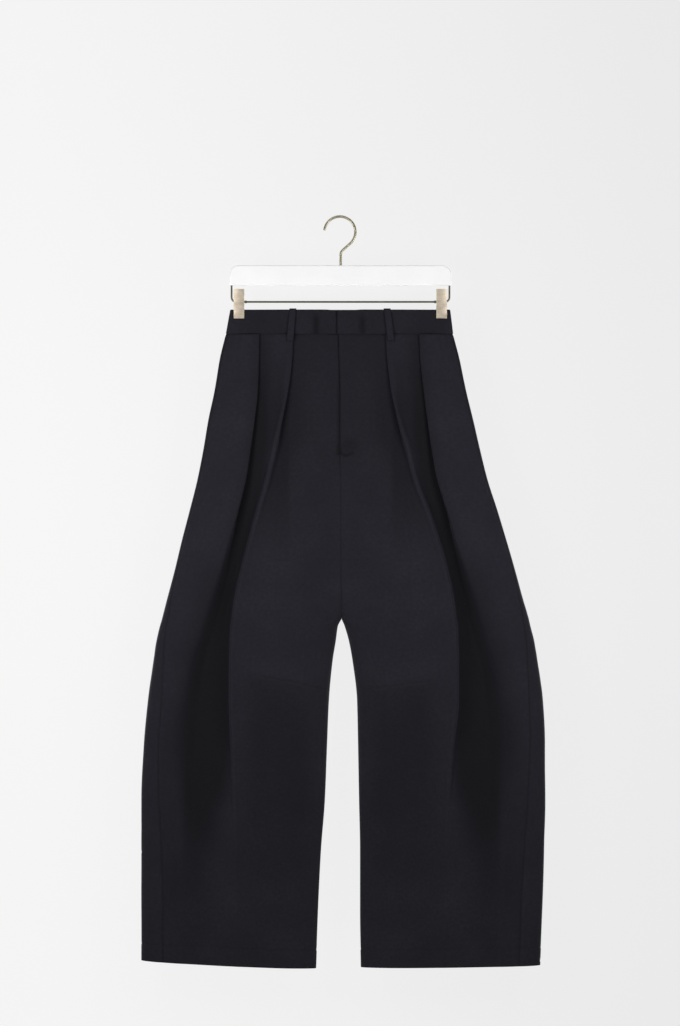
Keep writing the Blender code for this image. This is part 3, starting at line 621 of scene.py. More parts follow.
# one leg's sections, and its points at any drop between them
class LegForm:
    def __init__(self, side):
        self.step = panelGrid["sectionStep"]
        count = math.ceil((hem["last"] - waistSeam) / self.step)
        self.drops = [min(waistSeam + self.step * k, hem["last"]) for k in range(count + 1)]
        self.sections = [legSection(side, drop) for drop in self.drops]
        for drop, section in zip(self.drops, self.sections):
            section["front"] = lapFront(side, drop, section["front"])

    def row(self, part, drops):
        points = []
        for j, drop in enumerate(drops):
            i = min(int((drop - waistSeam) / self.step), len(self.drops) - 2)
            share = (drop - self.drops[i]) / (self.drops[i + 1] - self.drops[i])
            points.append(self.sections[i][part][j].lerp(self.sections[i + 1][part][j], share))
        return points

    def nearest(self, drop):
        return self.sections[min(round((drop - waistSeam) / self.step), len(self.drops) - 1)]


def endNormals(part, drop, seamNormal):
    split = smoothStep((drop - cloth["crotch"]) / cloth["crotchBlend"])
    facing = 1 if part == "front" else -1
    innerNormal = Vector((0, facing / heading(crotchSlope(drop)).x)).lerp(Vector((-1, 0)), split)
    return (innerNormal, seamNormal) if part == "front" else (seamNormal, innerNormal)


# how far a folded edge draws in toward the wall's middle
def foldIn(distance, radius):
    return radius - math.sqrt(radius**2 - (radius - distance) ** 2) if distance < radius else 0


# the hem's step and ditch, and the painted shade along the ditch
def hemHeight(row):
    off = row - hem["last"] + hem["depth"]
    line = bell(off / hem["ditchWidth"])
    return hem["step"] * smoothStep((off + 1) / 4) - hem["ditch"] * line, hem["ditchPaintedShade"] * line


def addObject(name, data, spot=(0, 0, 0)):
    item = bpy.data.objects.new(name, data)
    bpy.context.scene.collection.objects.link(item)
    item.location = spot
    return item


# a closed wall of cloth through rows of cells: outer point, inner point, flat spot and painted shade
def closedWall(name, node, rows):
    mesh = bmesh.new()
    threads = mesh.loops.layers.uv.new("threads")
    paintedShade = mesh.verts.layers.float.new("paintedShade")
    flatSpot = {}
    grids = []
    for face in (0, 1):
        grids.append([[mesh.verts.new(cell[face]) for cell in row] for row in rows])
        for line, row in zip(grids[face], rows):
            for vert, cell in zip(line, row):
                flatSpot[vert] = cell[2]
                vert[paintedShade] = cell[3]
    outer, inner = grids
    last, end = len(rows) - 1, len(rows[0]) - 1
    for i in range(last):
        for j in range(end):
            mesh.faces.new((outer[i][j], outer[i + 1][j], outer[i + 1][j + 1], outer[i][j + 1]))
            mesh.faces.new((inner[i][j], inner[i][j + 1], inner[i + 1][j + 1], inner[i + 1][j]))
        mesh.faces.new((outer[i][0], inner[i][0], inner[i + 1][0], outer[i + 1][0]))
        mesh.faces.new((outer[i][end], outer[i + 1][end], inner[i + 1][end], inner[i][end]))
    for j in range(end):
        mesh.faces.new((outer[0][j], outer[0][j + 1], inner[0][j + 1], inner[0][j]))
        mesh.faces.new((outer[last][j], inner[last][j], inner[last][j + 1], outer[last][j + 1]))
    bmesh.ops.recalc_face_normals(mesh, faces=mesh.faces[:])
    if mesh.calc_volume(signed=True) < 0:
        bmesh.ops.reverse_faces(mesh, faces=mesh.faces[:])
    for face in mesh.faces:
        face.smooth = True
        for corner in face.loops:
            corner[threads].uv = flatSpot[corner.vert]
    data = bpy.data.meshes.new(name)
    mesh.to_mesh(data)
    mesh.free()
    data.set_sharp_from_angle(angle=math.radians(60))
    piece = addObject(name, data)
    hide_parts(node)
    clothPieces.append(piece)


# how far each point lies below a lid stretched over the section's crests, as a share of a full fold, for painted
# shade inside the folds
def paintedFoldShade(points):
    lid = []
    for spot in sorted((point.x, point.y) for point in points):
        while len(lid) > 1:
            a, b = lid[-2], lid[-1]
            if (b[0] - a[0]) * (spot[1] - a[1]) - (b[1] - a[1]) * (spot[0] - a[0]) < 0:
                break
            lid.pop()
        lid.append(spot)
    result = []
    for point in points:
        k = max(i for i in range(len(lid)) if lid[i][0] <= point.x)
        a, b = lid[k], lid[min(k + 1, len(lid) - 1)]
        height = a[1] + (b[1] - a[1]) * (point.x - a[0]) / (b[0] - a[0]) if b[0] > a[0] else a[1]
        result.append(smoothStep((height - point.y) / panelGrid["fullFold"]))
    return result


# a pleat's shade at a drop, coming in over its top and going out over its end
def fadedShade(name, drop):
    (a, b), (c, d) = pleatPaintedShade[name + "Top"], pleatPaintedShade[name + "End"]
    return pleatPaintedShade[name] * smoothStep((drop - a) / (b - a)) * (1 - smoothStep((drop - c) / (d - c)))


# the painted shade that the pleats put on each point of a front, from 0 to 1
def frontPaintedShade(section, drop):
    points = section["front"]
    startB, startA = section["starts"]
    ridge, pastRidge = panelGrid["ridge"]
    middle, inner, beside = (fadedShade(name, drop) for name in ("middle", "inner", "beside"))
    main, knee, outer = readAll(paintedPanelShades, "main knee outer", drop)
    (innerFrom, innerTo), (kneeFrom, kneeTo), kneeEase = take(pleatPaintedShade, "innerX kneeX kneeEase")
    closedFrom, closedEase = pleatPaintedShade["closedTurn"]
    folds = []
    for name, start in (("pleatB", startB), ("pleatA", startA)):
        edge = min(point.x for point in points[start + ridge : start + pastRidge + 1])
        folds.append((start, edge, smoothStep((readAt(pleats[name], "turn", drop) - closedFrom) / closedEase)))
    shade = []
    for i, (point, value) in enumerate(zip(points, paintedFoldShade(points))):
        x = point.x
        if i < startB + ridge:
            value = max(pleatPaintedShade["innerFold"] * value, inner * smoothStep((x - innerFrom) / (innerTo - innerFrom)))
            value += main + knee * smoothStep((x - kneeFrom) / kneeEase) * smoothStep((kneeTo - x) / kneeEase)
        elif i < startB + pastRidge:
            value = 0
        elif startB + pastRidge + 2 <= i < startA + ridge:
            value = max(value, middle)
        elif i >= startA + ridge:
            off = (x - points[startA + pastRidge].x) / pleatPaintedShade["besideOuterReach"]
            value = max(value, outer * (1 + pleatPaintedShade["besideOuter"] * bell(off)))
        for start, edge, closed in folds:
            if start - pleatPaintedShade["gapPoints"] < i < start + ridge:
                gap = smoothStep((x - edge) / pleatPaintedShade["gap"] + 1)
                value = max(value, closed * pleatPaintedShade["gapShade"] * gap)
            if start == startA and i >= start + ridge:
                value = max(value, closed * pleatPaintedShade["outer"] * bell((x - edge) / pleatPaintedShade["outerReach"]))
        shade.append(value)
    first = startB + pastRidge
    for i in range(first, startA + ridge):
        off = points[i].x - points[first].x
        here = smoothStep(off / pleatPaintedShade["besideGap"]) * bell(off / pleatPaintedShade["besideReach"])
        shade[i] = max(shade[i], beside * here)
    openFold = 1 - folds[0][2]
    if openFold < 0.01:
        return shade
    lengths = runLengths(points[first:])
    soft = shade[:first]
    for here in lengths:
        weights = [bell((there - here) / (pleatPaintedShade["spread"] * openFold)) for there in lengths]
        soft.append(sum(w * value for w, value in zip(weights, shade[first:])) / sum(weights))
    return soft


def legPanel(side, part):
    form = legForms[side]
    front = part == "front"
    half = cloth["wall"] / 2
    seed = {"front": 1, "back": 5}[part] + {"right": 0, "left": 2}[side]
    creases = [crease for crease in creaseLists[part] if crease["side"] in ("both", side)]
    (pull, morePull), (pullFrom, pullEase), (quietFrom, quietReach) = take(fly, "edgePull pullRows quietRows")
    (sideCalm, waistCalm), (drift, driftWide, driftLong) = take(cloth, "seamCalm drift")
    rows, sizes = [], []
    for row in panelRows():
        section = form.nearest(row)
        drops = [row] * len(section[part])
        if front:
            drops = [row + dartShift(side, point.x, row) for point in section[part]]
            drops = [min(max(drop, waistSeam), hem["last"]) for drop in drops]
        points = form.row(part, drops)
        lengths = runLengths(points)
        sizes.append((row, lengths[-1]))
        across = acrossNormals(points, *endNormals(part, row, section["seamNormal"]))
        loose = section["loose"] if front else [1.0] * len(points)
        paintedShades = frontPaintedShade(section, row) if front else [0] * len(points)
        thick, fold = wallAt(row), foldIn(hem["last"] - row, hem["roundness"])
        hemLift, hemShade = hemHeight(row)
        low = row - waistSeam
        line = []
        for point, normal, free, drop, length, shade in zip(points, across, loose, drops, lengths, paintedShades):
            toSeam = min(length, lengths[-1] - length)
            nearFly = front and length < fly["near"]
            lapped = nearFly and side == "right" and row < fly["end"]
            sunk = bell(toSeam / cloth["seamReach"]) ** 2 + bell(low / cloth["seamReach"]) ** 2
            lift = hemLift - cloth["seamSink"] * sunk
            toEdge = max(0, toSeam - fly["lapWidth"]) if lapped else toSeam
            if nearFly and row < fly["end"]:
                toEdge *= pull - morePull * smoothStep((row - pullFrom) / pullEase)
            # painted shade along the seams, under the lap's edge and along the waist seam
            dark = bell(toEdge / cloth["shadeReach"])
            if nearFly:
                dark *= 1 - fly["quiet"] * bell((row - fly["end"] - quietFrom) / quietReach)
            dark = max(dark, bell(low / cloth["shadeReach"]))
            shade = max(shade, hemShade, dark * (fly["edgePaintedShade"] if lapped else cloth["seamPaintedShade"]))
            calm = smoothStep(toSeam / sideCalm) * smoothStep(low / waistCalm) * free
            spot = Vector((point.x, drop))
            wave = sum(creaseHeight(crease, spot, seed + k) for k, crease in enumerate(creases))
            wave += drift * noise.noise(Vector((point.x / driftWide, drop / driftLong, seed)))
            lift += wave * calm
            # the knee dart and the fly's foot and dent add their painted shade
            if front:
                dart, dartShade = dartHeight(side, point.x, row)
                tail, tailShade = flyHeight(point.x, row) if side == "left" else (0, 0)
                lift += dart * free + tail
                shade = max(shade, dartShade, tailShade)
            spots = (point + normal * (half + lift - fold), point + normal * (half + lift - thick + fold))
            outer, inner = (place(side, spot, levelZ(side, drop, spot.x)) for spot in spots)
            line.append((outer, inner, (length - lengths[-1] / 2, -drop), min(1, shade)))
        rows.append(line)
    area = sum((b[0] - a[0]) * (a[1] + b[1]) / 2 for a, b in zip(sizes, sizes[1:]))
    widest = max(size for _, size in sizes)
    print("panel", side, part, "widest", round(widest, 1), "mm, area", round(area / 1e6, 4), "m2")
    closedWall(side + part.capitalize() + "Panel", part + "_" + side, rows)


clothPieces = []
legForms = {side: LegForm(side) for side in sideSign}
print("leg sections worked out")
for side in sideSign:
    for part in ("front", "back"):
        legPanel(side, part)
print("leg panels made")

# the waistband: half widths at its top and its bottom edge, pinched flat where the clips press
band = {
    "height": 37.6,
    "wall": 2.6,
    "depth": 6,
    "right": (176.4, 183.6),
    "left": (175.6, 180.4),
    "straight": 160,  # it runs straight out to here, and then folds round to the back
    "ease": 1.4,
    "taper": 0.5,
    "lapShift": 5.6,
    "underlap": 36,
    "lapEase": 28,
    "lift": 1.4,
    "lapDip": 1.0,
    "dipStart": 26,
    "dipEase": 20,
    "clipX": {"right": 162.4, "left": 161.8},
    "clipWidth": 17,
    "clipFoot": 13.9,
    "roundness": 1.25,
    "columnStep": 2.6,
    "foldSteps": 12,
    "dentEase": (14, 12),
    # painted shade in the dents near the fly
    "dentPaintedShade": 0.52,  # only the dents this near the fly show as shade
    "dentShadeX": 50,
    "drift": (0.5, 34, 26),
    "seeds": {"front": 11, "back": 17},
    "wave": {"front": 0.8, "back": 0.56},
    "topCalm": 5,
    "clipCalm": (9, 12),  # the clips press the waves flat
    "pull": (1.2, 0.45),  # the seam draws the lower edge in
    # painted shade under the lap's edge
    "lapShade": 0.85,
    "lapShadeReach": {"left": 1.2, "right": 1.6},
    "lapRound": (6, 0.9),  # the lap's edge is rounded too
    # painted shade over the whole front, and along the waist seam
    "shade": 0.24,
    "footPaintedShade": (0.77, 38, 1.1),  # along the waist seam: how dark, its drop and its reach
    "rows": (0, 0.25, 0.7, 1.5, 3.5, 6, 9, 12, 15, 18, 21, 24, 27, 30, 33, 35, 36.4, 37.2, 37.95),
}
# short dents in the waistband: own x, width, depth, top and bottom drop
bandDents = {
    "right": (
        (39, 4.8, 1.5, 2, 52),
        (29, 3.4, 0.25, 20, 60),
        (58, 9, 0.35, 4, 30),
        (104, 12, 0.4, 6, 34),
        (136, 8, 0.3, 10, 36),
    ),
    "left": ((35, 5.0, 1.3, 4, 46), (55, 9, 0.35, 4, 30), (100, 12, 0.4, 6, 34), (138, 8, 0.3, 10, 36)),
}


def bandFold(low):
    clipShare = band["clipFoot"] / band["height"]
    return (band["wall"] + cloth["gap"]) / 2 + band["ease"] * clamp((low - clipShare) / (1 - clipShare))


def bandDepth(x, side, low):
    clip = band["clipX"][side] - band["clipWidth"] / 2 - 2
    ease = smoothStep((x / clip - band["taper"]) / (1 - band["taper"]))
    return band["depth"] + (bandFold(low) - band["depth"]) * ease


def bandSection(side, low):
    top, bottom = band[side]
    bend = bandFold(low)
    foldX = top + (bottom - top) * low - band["wall"] / 2 - bend
    offset = (band["wall"] + cloth["gap"]) / 2 * sideSign[side]
    start = -band["lapShift"] if side == "left" else -band["underlap"]
    lapEnd = band["lapEase"] + (band["underlap"] if side == "left" else 0)
    straight, steps = band["straight"], band["foldSteps"]
    count = round((straight - start) / band["columnStep"])
    points = []
    for k in range(count + 1):
        x = start + (straight - start) * k / count
        points.append(Vector((x, bandDepth(x, side, low) + offset * smoothStep((lapEnd - x) / band["lapEase"]))))
    front = len(points)
    points += [Vector((foldX, 0)) + bend * heading(90 - 180 * k / steps) for k in range(steps + 1)]
    count = round(straight / band["columnStep"])
    xs = [straight + (cloth["gap"] / 2 - straight) * k / count for k in range(count + 1)]
    return points + [Vector((x, -bandDepth(x, side, low))) for x in xs], front


def nearLap(worldX):
    rise = smoothStep((band["underlap"] - worldX) / band["dipEase"])
    return rise * smoothStep((worldX + band["dipStart"]) / band["dipEase"])


# the dents' sink and the slow waves, and the painted shade in the dents
def bandWave(side, x, drop, seed):
    total, shade = 0, 0
    topEase, endEase = band["dentEase"]
    for middle, width, depth, top, bottom in bandDents[side]:
        dent = depth * smoothStep((drop - top) / topEase) * smoothStep((bottom - drop) / endEase)
        dent *= bell((x - middle) / width)
        total -= dent
        shade += dent if x < band["dentShadeX"] else 0
    drift, wide, tall = band["drift"]
    return total + drift * noise.noise(Vector((x / wide, drop / tall, seed))), shade * band["dentPaintedShade"]


def waistbandHalf(side):
    half = band["wall"] / 2
    clipX = band["clipX"][side]
    (press, pressEase), (pullRows, pull), (roundReach, rounding) = take(band, "clipCalm pull lapRound")
    footDark, footRow, footReach = band["footPaintedShade"]
    rows = []
    for drop in band["rows"]:
        low = min(1, drop / band["height"])
        points, front = bandSection(side, low)
        across = acrossNormals(points, Vector((0, 1)), Vector((0, -1)))
        fold = foldIn(drop, band["roundness"])
        drawn = max(0, drop - (band["height"] - pullRows)) * pull
        # painted shade along the waist seam
        footPaintedShade = footDark * bell((footRow - drop) / footReach)
        line = []
        for i, (point, normal, length) in enumerate(zip(points, across, runLengths(points))):
            part = "front" if i < front else "back"
            wave, dentPaintedShade = bandWave(side, point.x, drop, band["seeds"][part])
            calm = smoothStep(drop / band["topCalm"]) * smoothStep((abs(point.x - clipX) - press) / pressEase)
            lift = wave * calm * band["wave"][part]
            shade, dip, pinch = 0, 0, 0
            # on the front: painted shade over it all, more in the dents and under the lap's edge
            if i < front:
                toLap = length if side == "left" else max(0, point.x - band["lapShift"])
                lapShade = band["lapShade"] * bell(toLap / band["lapShadeReach"][side])
                shade = max(dentPaintedShade + band["shade"], lapShade)
                dip = band["lapDip"] * (1 - low) * nearLap(point.x * sideSign[side])
                pinch = (1 - min(length, roundReach) / roundReach) * rounding / 2
            z = cloth["waistTop"] + band["lift"] * (1 - low) - drop - dip
            outer = place(side, point + normal * (half + lift - fold - drawn - pinch), z)
            inner = place(side, point + normal * (lift - half + fold), z)
            line.append((outer, inner, (length, -drop), max(shade, footPaintedShade)))
        rows.append(line)
    closedWall(side + "Waistband", "waistband_" + side, rows)


flyShield = {
    "half": 25,
    "gap": 0.4,
    "levels": (42, 50, 58, 69, 80, 92, 104, 115, 127, 143, 159, 175, 191, 207, 223, 236),
    "columns": 10,
}


def makeFlyShield():
    half, count = cloth["wall"] / 2, flyShield["columns"]
    rows = []
    for drop in flyShield["levels"]:
        depth = readAt(depths, "seam", drop) - 3 * half - cloth["gap"] - flyShield["gap"]
        line = []
        for k in range(count + 1):
            x = flyShield["half"] * (2 * k / count - 1)
            faces = (place("left", Vector((x, depth + out)), cloth["waistTop"] - drop) for out in (half, -half))
            line.append((*faces, (x, -drop), 0))
        rows.append(line)
    closedWall("flyShield", "fly_shield", rows)


# belt loops; in beltLoops: side, panel, own x at the top and at the foot
loop = {
    "rise": {"front": 3, "back": -1.5},
    "foot": 12,
    "width": 11,
    "wall": 2,
    "bulge": 1.6,
    "overPanel": 7,  # from this far above the band's foot it clears the panel too
    "clearance": (3, 5),  # beside it and below it
    "ends": (1.6, 0.8),  # its turned ends are rounded: rows and depth
    "tacks": ((46.1, 0.5), (1.5, 0.4)),  # drop and depth of its two rows of stitches
    "tackReach": 1.1,
    "rows": 40,
    "across": (-1, -0.95, -0.82, -0.5, 0, 0.5, 0.82, 0.95, 1),
    "edgeRound": (0.9, 0.45, 0.12, 0, 0, 0, 0.12, 0.45, 0.9),
    # painted shade along its edges
    "edgePaintedShade": (1, 0.8, 0.1, 0, 0, 0, 0.1, 0.8, 1),
}
beltLoops = {
    "loop_front_right": ("right", "front", 76, 80.8),
    "loop_front_left": ("left", "front", 74.4, 80.8),
    "loop_side_right": ("right", "back", 112, 114),
    "loop_side_left": ("left", "back", 112, 114),
    "loop_back": ("left", "back", 0, 0),
}


def panelDepth(side, part, drop, x):
    points = legForms[side].nearest(drop)[part]
    best = 0
    for a, b in zip(points, points[1:]):
        low, high = sorted((a.x, b.x))
        if low <= x <= high and high > low:
            best = max(best, abs(a.y + (b.y - a.y) * (x - a.x) / (b.x - a.x)))
    return best + cloth["wall"] / 2


def makeLoop(node, side, part, topX, footX):
    facing = 1 if part == "front" else -1
    rise, half = loop["rise"][part], loop["width"] / 2
    total = rise + band["height"] + loop["foot"]
    (beside, below), (endRows, endDepth) = take(loop, "clearance ends")
    rows = []
    for k in range(loop["rows"] + 1):
        share = k / loop["rows"]
        drop = -rise + total * share
        middle = topX + (footX - topX) * share
        low = clamp(drop / band["height"])
        under = max(bandDepth(abs(x), side, low) for x in (middle - half, middle, middle + half))
        under += band["wall"] / 2
        if drop > band["height"] - loop["overPanel"]:
            for probe in (-half - beside, -half, 0, half, half + beside):
                for level in (waistSeam, max(waistSeam, drop), max(waistSeam, drop + below)):
                    under = max(under, panelDepth(side, part, level, abs(middle + probe)))
        depth = under + cloth["gap"] + loop["bulge"] * math.sin(math.pi * low) ** 2
        ends = max(0, 1 - min(k, loop["rows"] - k) / endRows) * endDepth
        tack = sum(deep * bell((drop - at) / loop["tackReach"]) for at, deep in loop["tacks"])
        # painted shade along its foot
        footPaintedShade = smoothStep((drop + rise - total + 1.8) / 1.2)
        line = []
        for away, rounding, shade in zip(loop["across"], loop["edgeRound"], loop["edgePaintedShade"]):
            faces = (depth + loop["wall"] - rounding - ends - tack, depth)
            spots = (Vector((middle + away * half, facing * face)) for face in faces)
            outer, inner = (place(side, spot, cloth["waistTop"] - drop) for spot in spots)
            line.append((outer, inner, (away * half, -drop), max(shade, footPaintedShade)))
        rows.append(line)
    words = node.split("_")
    closedWall(words[0] + "".join(word.capitalize() for word in words[1:]), node, rows)


for side in sideSign:
    waistbandHalf(side)
makeFlyShield()
for node, spot in beltLoops.items():
    makeLoop(node, *spot)
print("waistband, fly shield and belt loops made")


# hanger pieces, modelled in edit mode
hangerBar = {
    "half": 177.1,
    "top": -76.3,
    "bottom": -108.3,
    "depth": 12,
    "corner": 14,
    "footCorner": 2.6,
    "edge": 1.8,
    "socketDepth": 12,
}
hangerHook = {
    "radius": 24.8,
    "wire": 2.15,
    "x": -1.0,
    "tip": 172,
    "end": -48.5,
    "stemX": 0.3,
    "bendZ": -54.6,
    "bendReach": 5,
    "rounding": ((0.5, 0.94), (0.3, 0.82)),  # the tip's last steps: length and narrowing
}
hangerRod = {
    "z": -134.4,
    "radius": 1.5,
    "end": 174.3,
    "bend": 7,
    "stopRadius": 2.4,
    "stopLength": 4,
}
clip = {
    "top": -114,
    "bottom": -161.1,
    "width": 17,
    "plate": 1,
    "lip": 1.8,
    "edge": 0.3,
    "spring": 2.7,
    "springWire": 0.6,
    "springTurns": 8,
}


def pick(kind, test):
    item = bpy.context.active_object
    bpy.ops.mesh.select_mode(type=kind)
    bpy.ops.mesh.select_all(action="DESELECT")
    shape = bmesh.from_edit_mesh(item.data)
    for element in {"VERT": shape.verts, "EDGE": shape.edges, "FACE": shape.faces}[kind]:
        if test(element):
            element.select_set(True)
    bmesh.update_edit_mesh(item.data)


def startPiece(name, addPrimitive, **settings):
    bpy.ops.object.select_all(action="DESELECT")
    addPrimitive(**settings)
    item = bpy.context.active_object
    item.name = name
    item.data.name = name
    bpy.ops.object.transform_apply(location=True, rotation=True, scale=True)
    bpy.ops.object.mode_set(mode="EDIT")
    return item


def startWire(name, spot, radius, vertices, fill="NGON", turn=(0, 0, 0)):
    add = bpy.ops.mesh.primitive_circle_add
    sizes = {"vertices": vertices, "radius": radius * mm, "location": spot * mm}
    return startPiece(name, add, fill_type=fill, rotation=turn, **sizes)


def endPiece(item, angle, node=None):
    bpy.ops.mesh.select_all(action="SELECT")
    bpy.ops.mesh.remove_doubles(threshold=0.00001)
    bpy.ops.mesh.normals_make_consistent(inside=False)
    if bmesh.from_edit_mesh(item.data).calc_volume(signed=True) < 0:  # the thin clip plates come out inside out
        bpy.ops.mesh.flip_normals()
    bpy.ops.object.mode_set(mode="OBJECT")
    bpy.ops.object.shade_smooth_by_angle(angle=math.radians(angle))
    if node:
        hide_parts(node)
    return item


def applyModifier(item, kind, **settings):
    modifier = item.modifiers.new(kind.lower(), kind)
    for name, value in settings.items():
        setattr(modifier, name, value)
    bpy.ops.object.select_all(action="DESELECT")
    bpy.context.view_layer.objects.active = item
    item.select_set(True)
    bpy.ops.object.modifier_apply(modifier=modifier.name)


def edgeRun(edge):
    return (edge.verts[1].co - edge.verts[0].co).normalized()


def makeBar():
    high, low, half, deep = take(hangerBar, "top bottom half socketDepth")
    middle = Vector((0, 0, (high + low) / 2)) * mm
    size = Vector((2 * half, hangerBar["depth"], high - low)) * mm
    item = startPiece("hangerBar", bpy.ops.mesh.primitive_cube_add, size=1, location=middle, scale=size)
    bevels = (
        ("corner", 12, lambda edge: abs(edgeRun(edge).y) > 0.9 and edge.verts[0].co.z > middle.z),
        ("footCorner", 4, lambda edge: abs(edgeRun(edge).y) > 0.9 and edge.verts[0].co.z < (low + 1) * mm),
        ("edge", 4, lambda edge: abs(edgeRun(edge).y) < 0.1),
    )
    for key, segments, test in bevels:
        pick("EDGE", test)
        bpy.ops.mesh.bevel(offset=hangerBar[key] * mm, segments=segments, affect="EDGES")
    pick("FACE", lambda face: abs(face.normal.y) > 0.99 and len(face.verts) > 4)
    bpy.ops.mesh.inset(thickness=0.4 * mm)  # keeps the broad faces flat in the light
    endPiece(item, 35, "hanger_bar")
    rodEnd, rodTop = hangerRod["end"], low + deep
    sockets = (
        (hangerHook["stemX"], high + 1, hangerHook["wire"]),
        (rodEnd, rodTop, hangerRod["radius"]),
        (-rodEnd, rodTop, hangerRod["radius"]),
    )
    addCutter = bpy.ops.mesh.primitive_cylinder_add
    for x, top, radius in sockets:
        spot = Vector((x, 0, top - (deep + 1) / 2)) * mm
        sizes = {"radius": (radius + cloth["gap"]) * mm, "depth": (deep + 1) * mm}
        cutter = endPiece(startPiece("socketCutter", addCutter, vertices=32, location=spot, **sizes), 35)
        applyModifier(item, "BOOLEAN", operation="DIFFERENCE", object=cutter, solver="EXACT")
        bpy.data.objects.remove(cutter, do_unlink=True)
    return item


def goOn(step):
    bpy.ops.mesh.extrude_region_move(TRANSFORM_OT_translate={"value": Vector(step) * mm})


# with no window, spin turns against the axis, so the angle is given negative
def turnOn(centre, degrees, steps):
    bpy.ops.mesh.spin(steps=steps, angle=math.radians(-degrees), center=Vector(centre) * mm, axis=(0, 1, 0))


def widenTo(spot, ratios):
    bpy.ops.transform.resize(value=ratios, center_override=Vector(spot) * mm)


def upHeading(degrees):
    return Vector((heading(degrees).x, 0, heading(degrees).y))


def makeHook():
    radius, wire, stemX, bendZ, reach, end, tip = take(hangerHook, "radius wire stemX bendZ bendReach end tip")
    centre = Vector((hangerHook["x"], 0, wire - radius))
    foot = Vector((stemX, 0, hangerBar["top"] - hangerBar["socketDepth"] + cloth["gap"]))
    item = startWire("hangerHook", foot, wire, 24)
    goOn((0, 0, bendZ - reach - foot.z))
    # from straight up to the slope that runs onto the arc
    turnOn((stemX + reach / math.tan(math.radians(-end / 2)), 0, bendZ - reach), -end, 10)
    run = centre + radius * upHeading(end) - Vector((stemX, 0, bendZ))
    goOn(run - run.normalized() * reach)
    turnOn(centre, end - tip, 64)
    spot, down = centre + radius * upHeading(tip), upHeading(tip + 90)
    for length, ratio in hangerHook["rounding"]:
        goOn(down * length)
        spot = spot + down * length
        widenTo(spot, (ratio, ratio, ratio))
    return endPiece(item, 50, "hanger_hook")


def makeRod():
    end, bend, z, radius, stopLength = take(hangerRod, "end bend z radius stopLength")
    top = hangerBar["bottom"] + hangerBar["socketDepth"] - cloth["gap"]
    item = startWire("hangerRod", Vector((-end, 0, top)), radius, 16)
    goOn((0, 0, z + bend - top))
    turnOn((bend - end, 0, z + bend), -90, 8)
    stop = band["clipX"]["right"] - band["clipWidth"] / 2 - 1
    ratio = hangerRod["stopRadius"] / radius
    marks = [-stop, 0.3 - stop, 1.5 - stop, stopLength - stop]
    marks += [-x for x in reversed(marks)]
    here = bend - end
    for x, change in zip(marks, (1, ratio, 1, 1 / ratio) * 2):
        goOn((x - here, 0, 0))
        here = x
        if change != 1:
            widenTo((x, 0, z), (change, change, change))
    goOn((end - bend - here, 0, 0))
    turnOn((end - bend, 0, z + bend), -90, 8)
    goOn((0, 0, top - z - bend))
    return endPiece(item, 40, "hanger_rod")


def makeClipPlate(side, face):
    grip = band["wall"] + cloth["gap"] / 2 + cloth["gap"]
    z, waist = hangerRod["z"], cloth["waistTop"]
    top, foot, plate, lip = take(clip, "top bottom plate lip")
    profile = (  # height, how far out it bows, and thickness
        (top, 3.2, plate),
        (top - 1.2, 3.05, plate),
        (top - 6, 2.3, plate),
        (z + 6, 0.8, plate),
        (z + 3, 0.2, plate),
        (z, 0, plate),
        (z - 3, 0.2, plate),
        (z - 6, 0.5, plate),
        (waist + 3, 0.5, plate),
        (waist - 1, 0.1, plate),
        (waist - 4, 0, plate),
        (foot + lip * 1.5, 0, plate),
        (foot + lip * 1.1, 0, lip * 0.8),
        (foot + lip * 0.75, 0, lip),
        (foot + lip * 0.35, 0, lip * 0.95),
        (foot + lip * 0.1, 0.1, lip * 0.75),
        (foot, 0.35, lip * 0.4),
    )
    middle = band["clipX"][side] * sideSign[side]
    spots = [Vector((middle, -face * (grip + bow + thick / 2), height)) for height, bow, thick in profile]
    part = "front" if face > 0 else "back"
    name = "clip" + part.capitalize() + side.capitalize()
    item = startPiece(name, bpy.ops.mesh.primitive_plane_add, size=1, location=spots[0] * mm)
    widenTo(spots[0], (clip["width"] * mm, plate * mm, 1))
    for k in range(1, len(spots)):
        goOn(spots[k] - spots[k - 1])
        change = profile[k][2] / profile[k - 1][2]
        if change != 1:
            widenTo(spots[k], (1, change, 1))
    half = clip["width"] / 2 * mm
    pick("EDGE", lambda edge: abs(edge.verts[0].co.x - middle * mm) > half - 1e-6 and abs(edgeRun(edge).x) < 0.1)
    bpy.ops.mesh.bevel(offset=clip["edge"] * mm, segments=3, affect="EDGES")
    return endPiece(item, 40, "clip_" + part + "_" + side)


def makeSpring(side):
    half, wire, turns = clip["width"] / 2 - 3, *take(clip, "springWire springTurns")
    middle = Vector((band["clipX"][side] * sideSign[side], 0, hangerRod["z"]))
    start = middle + Vector((wire - half, 0, clip["spring"] - wire))
    item = startWire("clipSpring" + side.capitalize(), start, wire, 8, "NOTHING", (math.radians(90), 0, 0))
    bpy.ops.object.mode_set(mode="OBJECT")
    bpy.ops.object.select_all(action="DESELECT")
    pivot = addObject("springAxis", None, middle * mm)
    bpy.context.view_layer.update()
    steps = turns * 14
    sizes = {"angle": math.radians(360 * turns), "screw_offset": 2 * (half - wire) * mm}
    applyModifier(item, "SCREW", axis="X", object=pivot, steps=steps, render_steps=steps, **sizes)
    bpy.data.objects.remove(pivot, do_unlink=True)
    bpy.ops.object.mode_set(mode="EDIT")
    bpy.ops.mesh.select_all(action="DESELECT")
    bpy.ops.mesh.select_mode(type="EDGE")
    bpy.ops.mesh.select_non_manifold()
    bpy.ops.mesh.edge_face_add()
    return endPiece(item, 60, "clip_spring_" + side)


barPiece = makeBar()
hookPiece = makeHook()
rodPiece = makeRod()
clipPieces = []
for side in sideSign:
    for face in (1, -1):
        clipPieces.append(makeClipPlate(side, face))
    clipPieces.append(makeSpring(side))
print("hanger made")


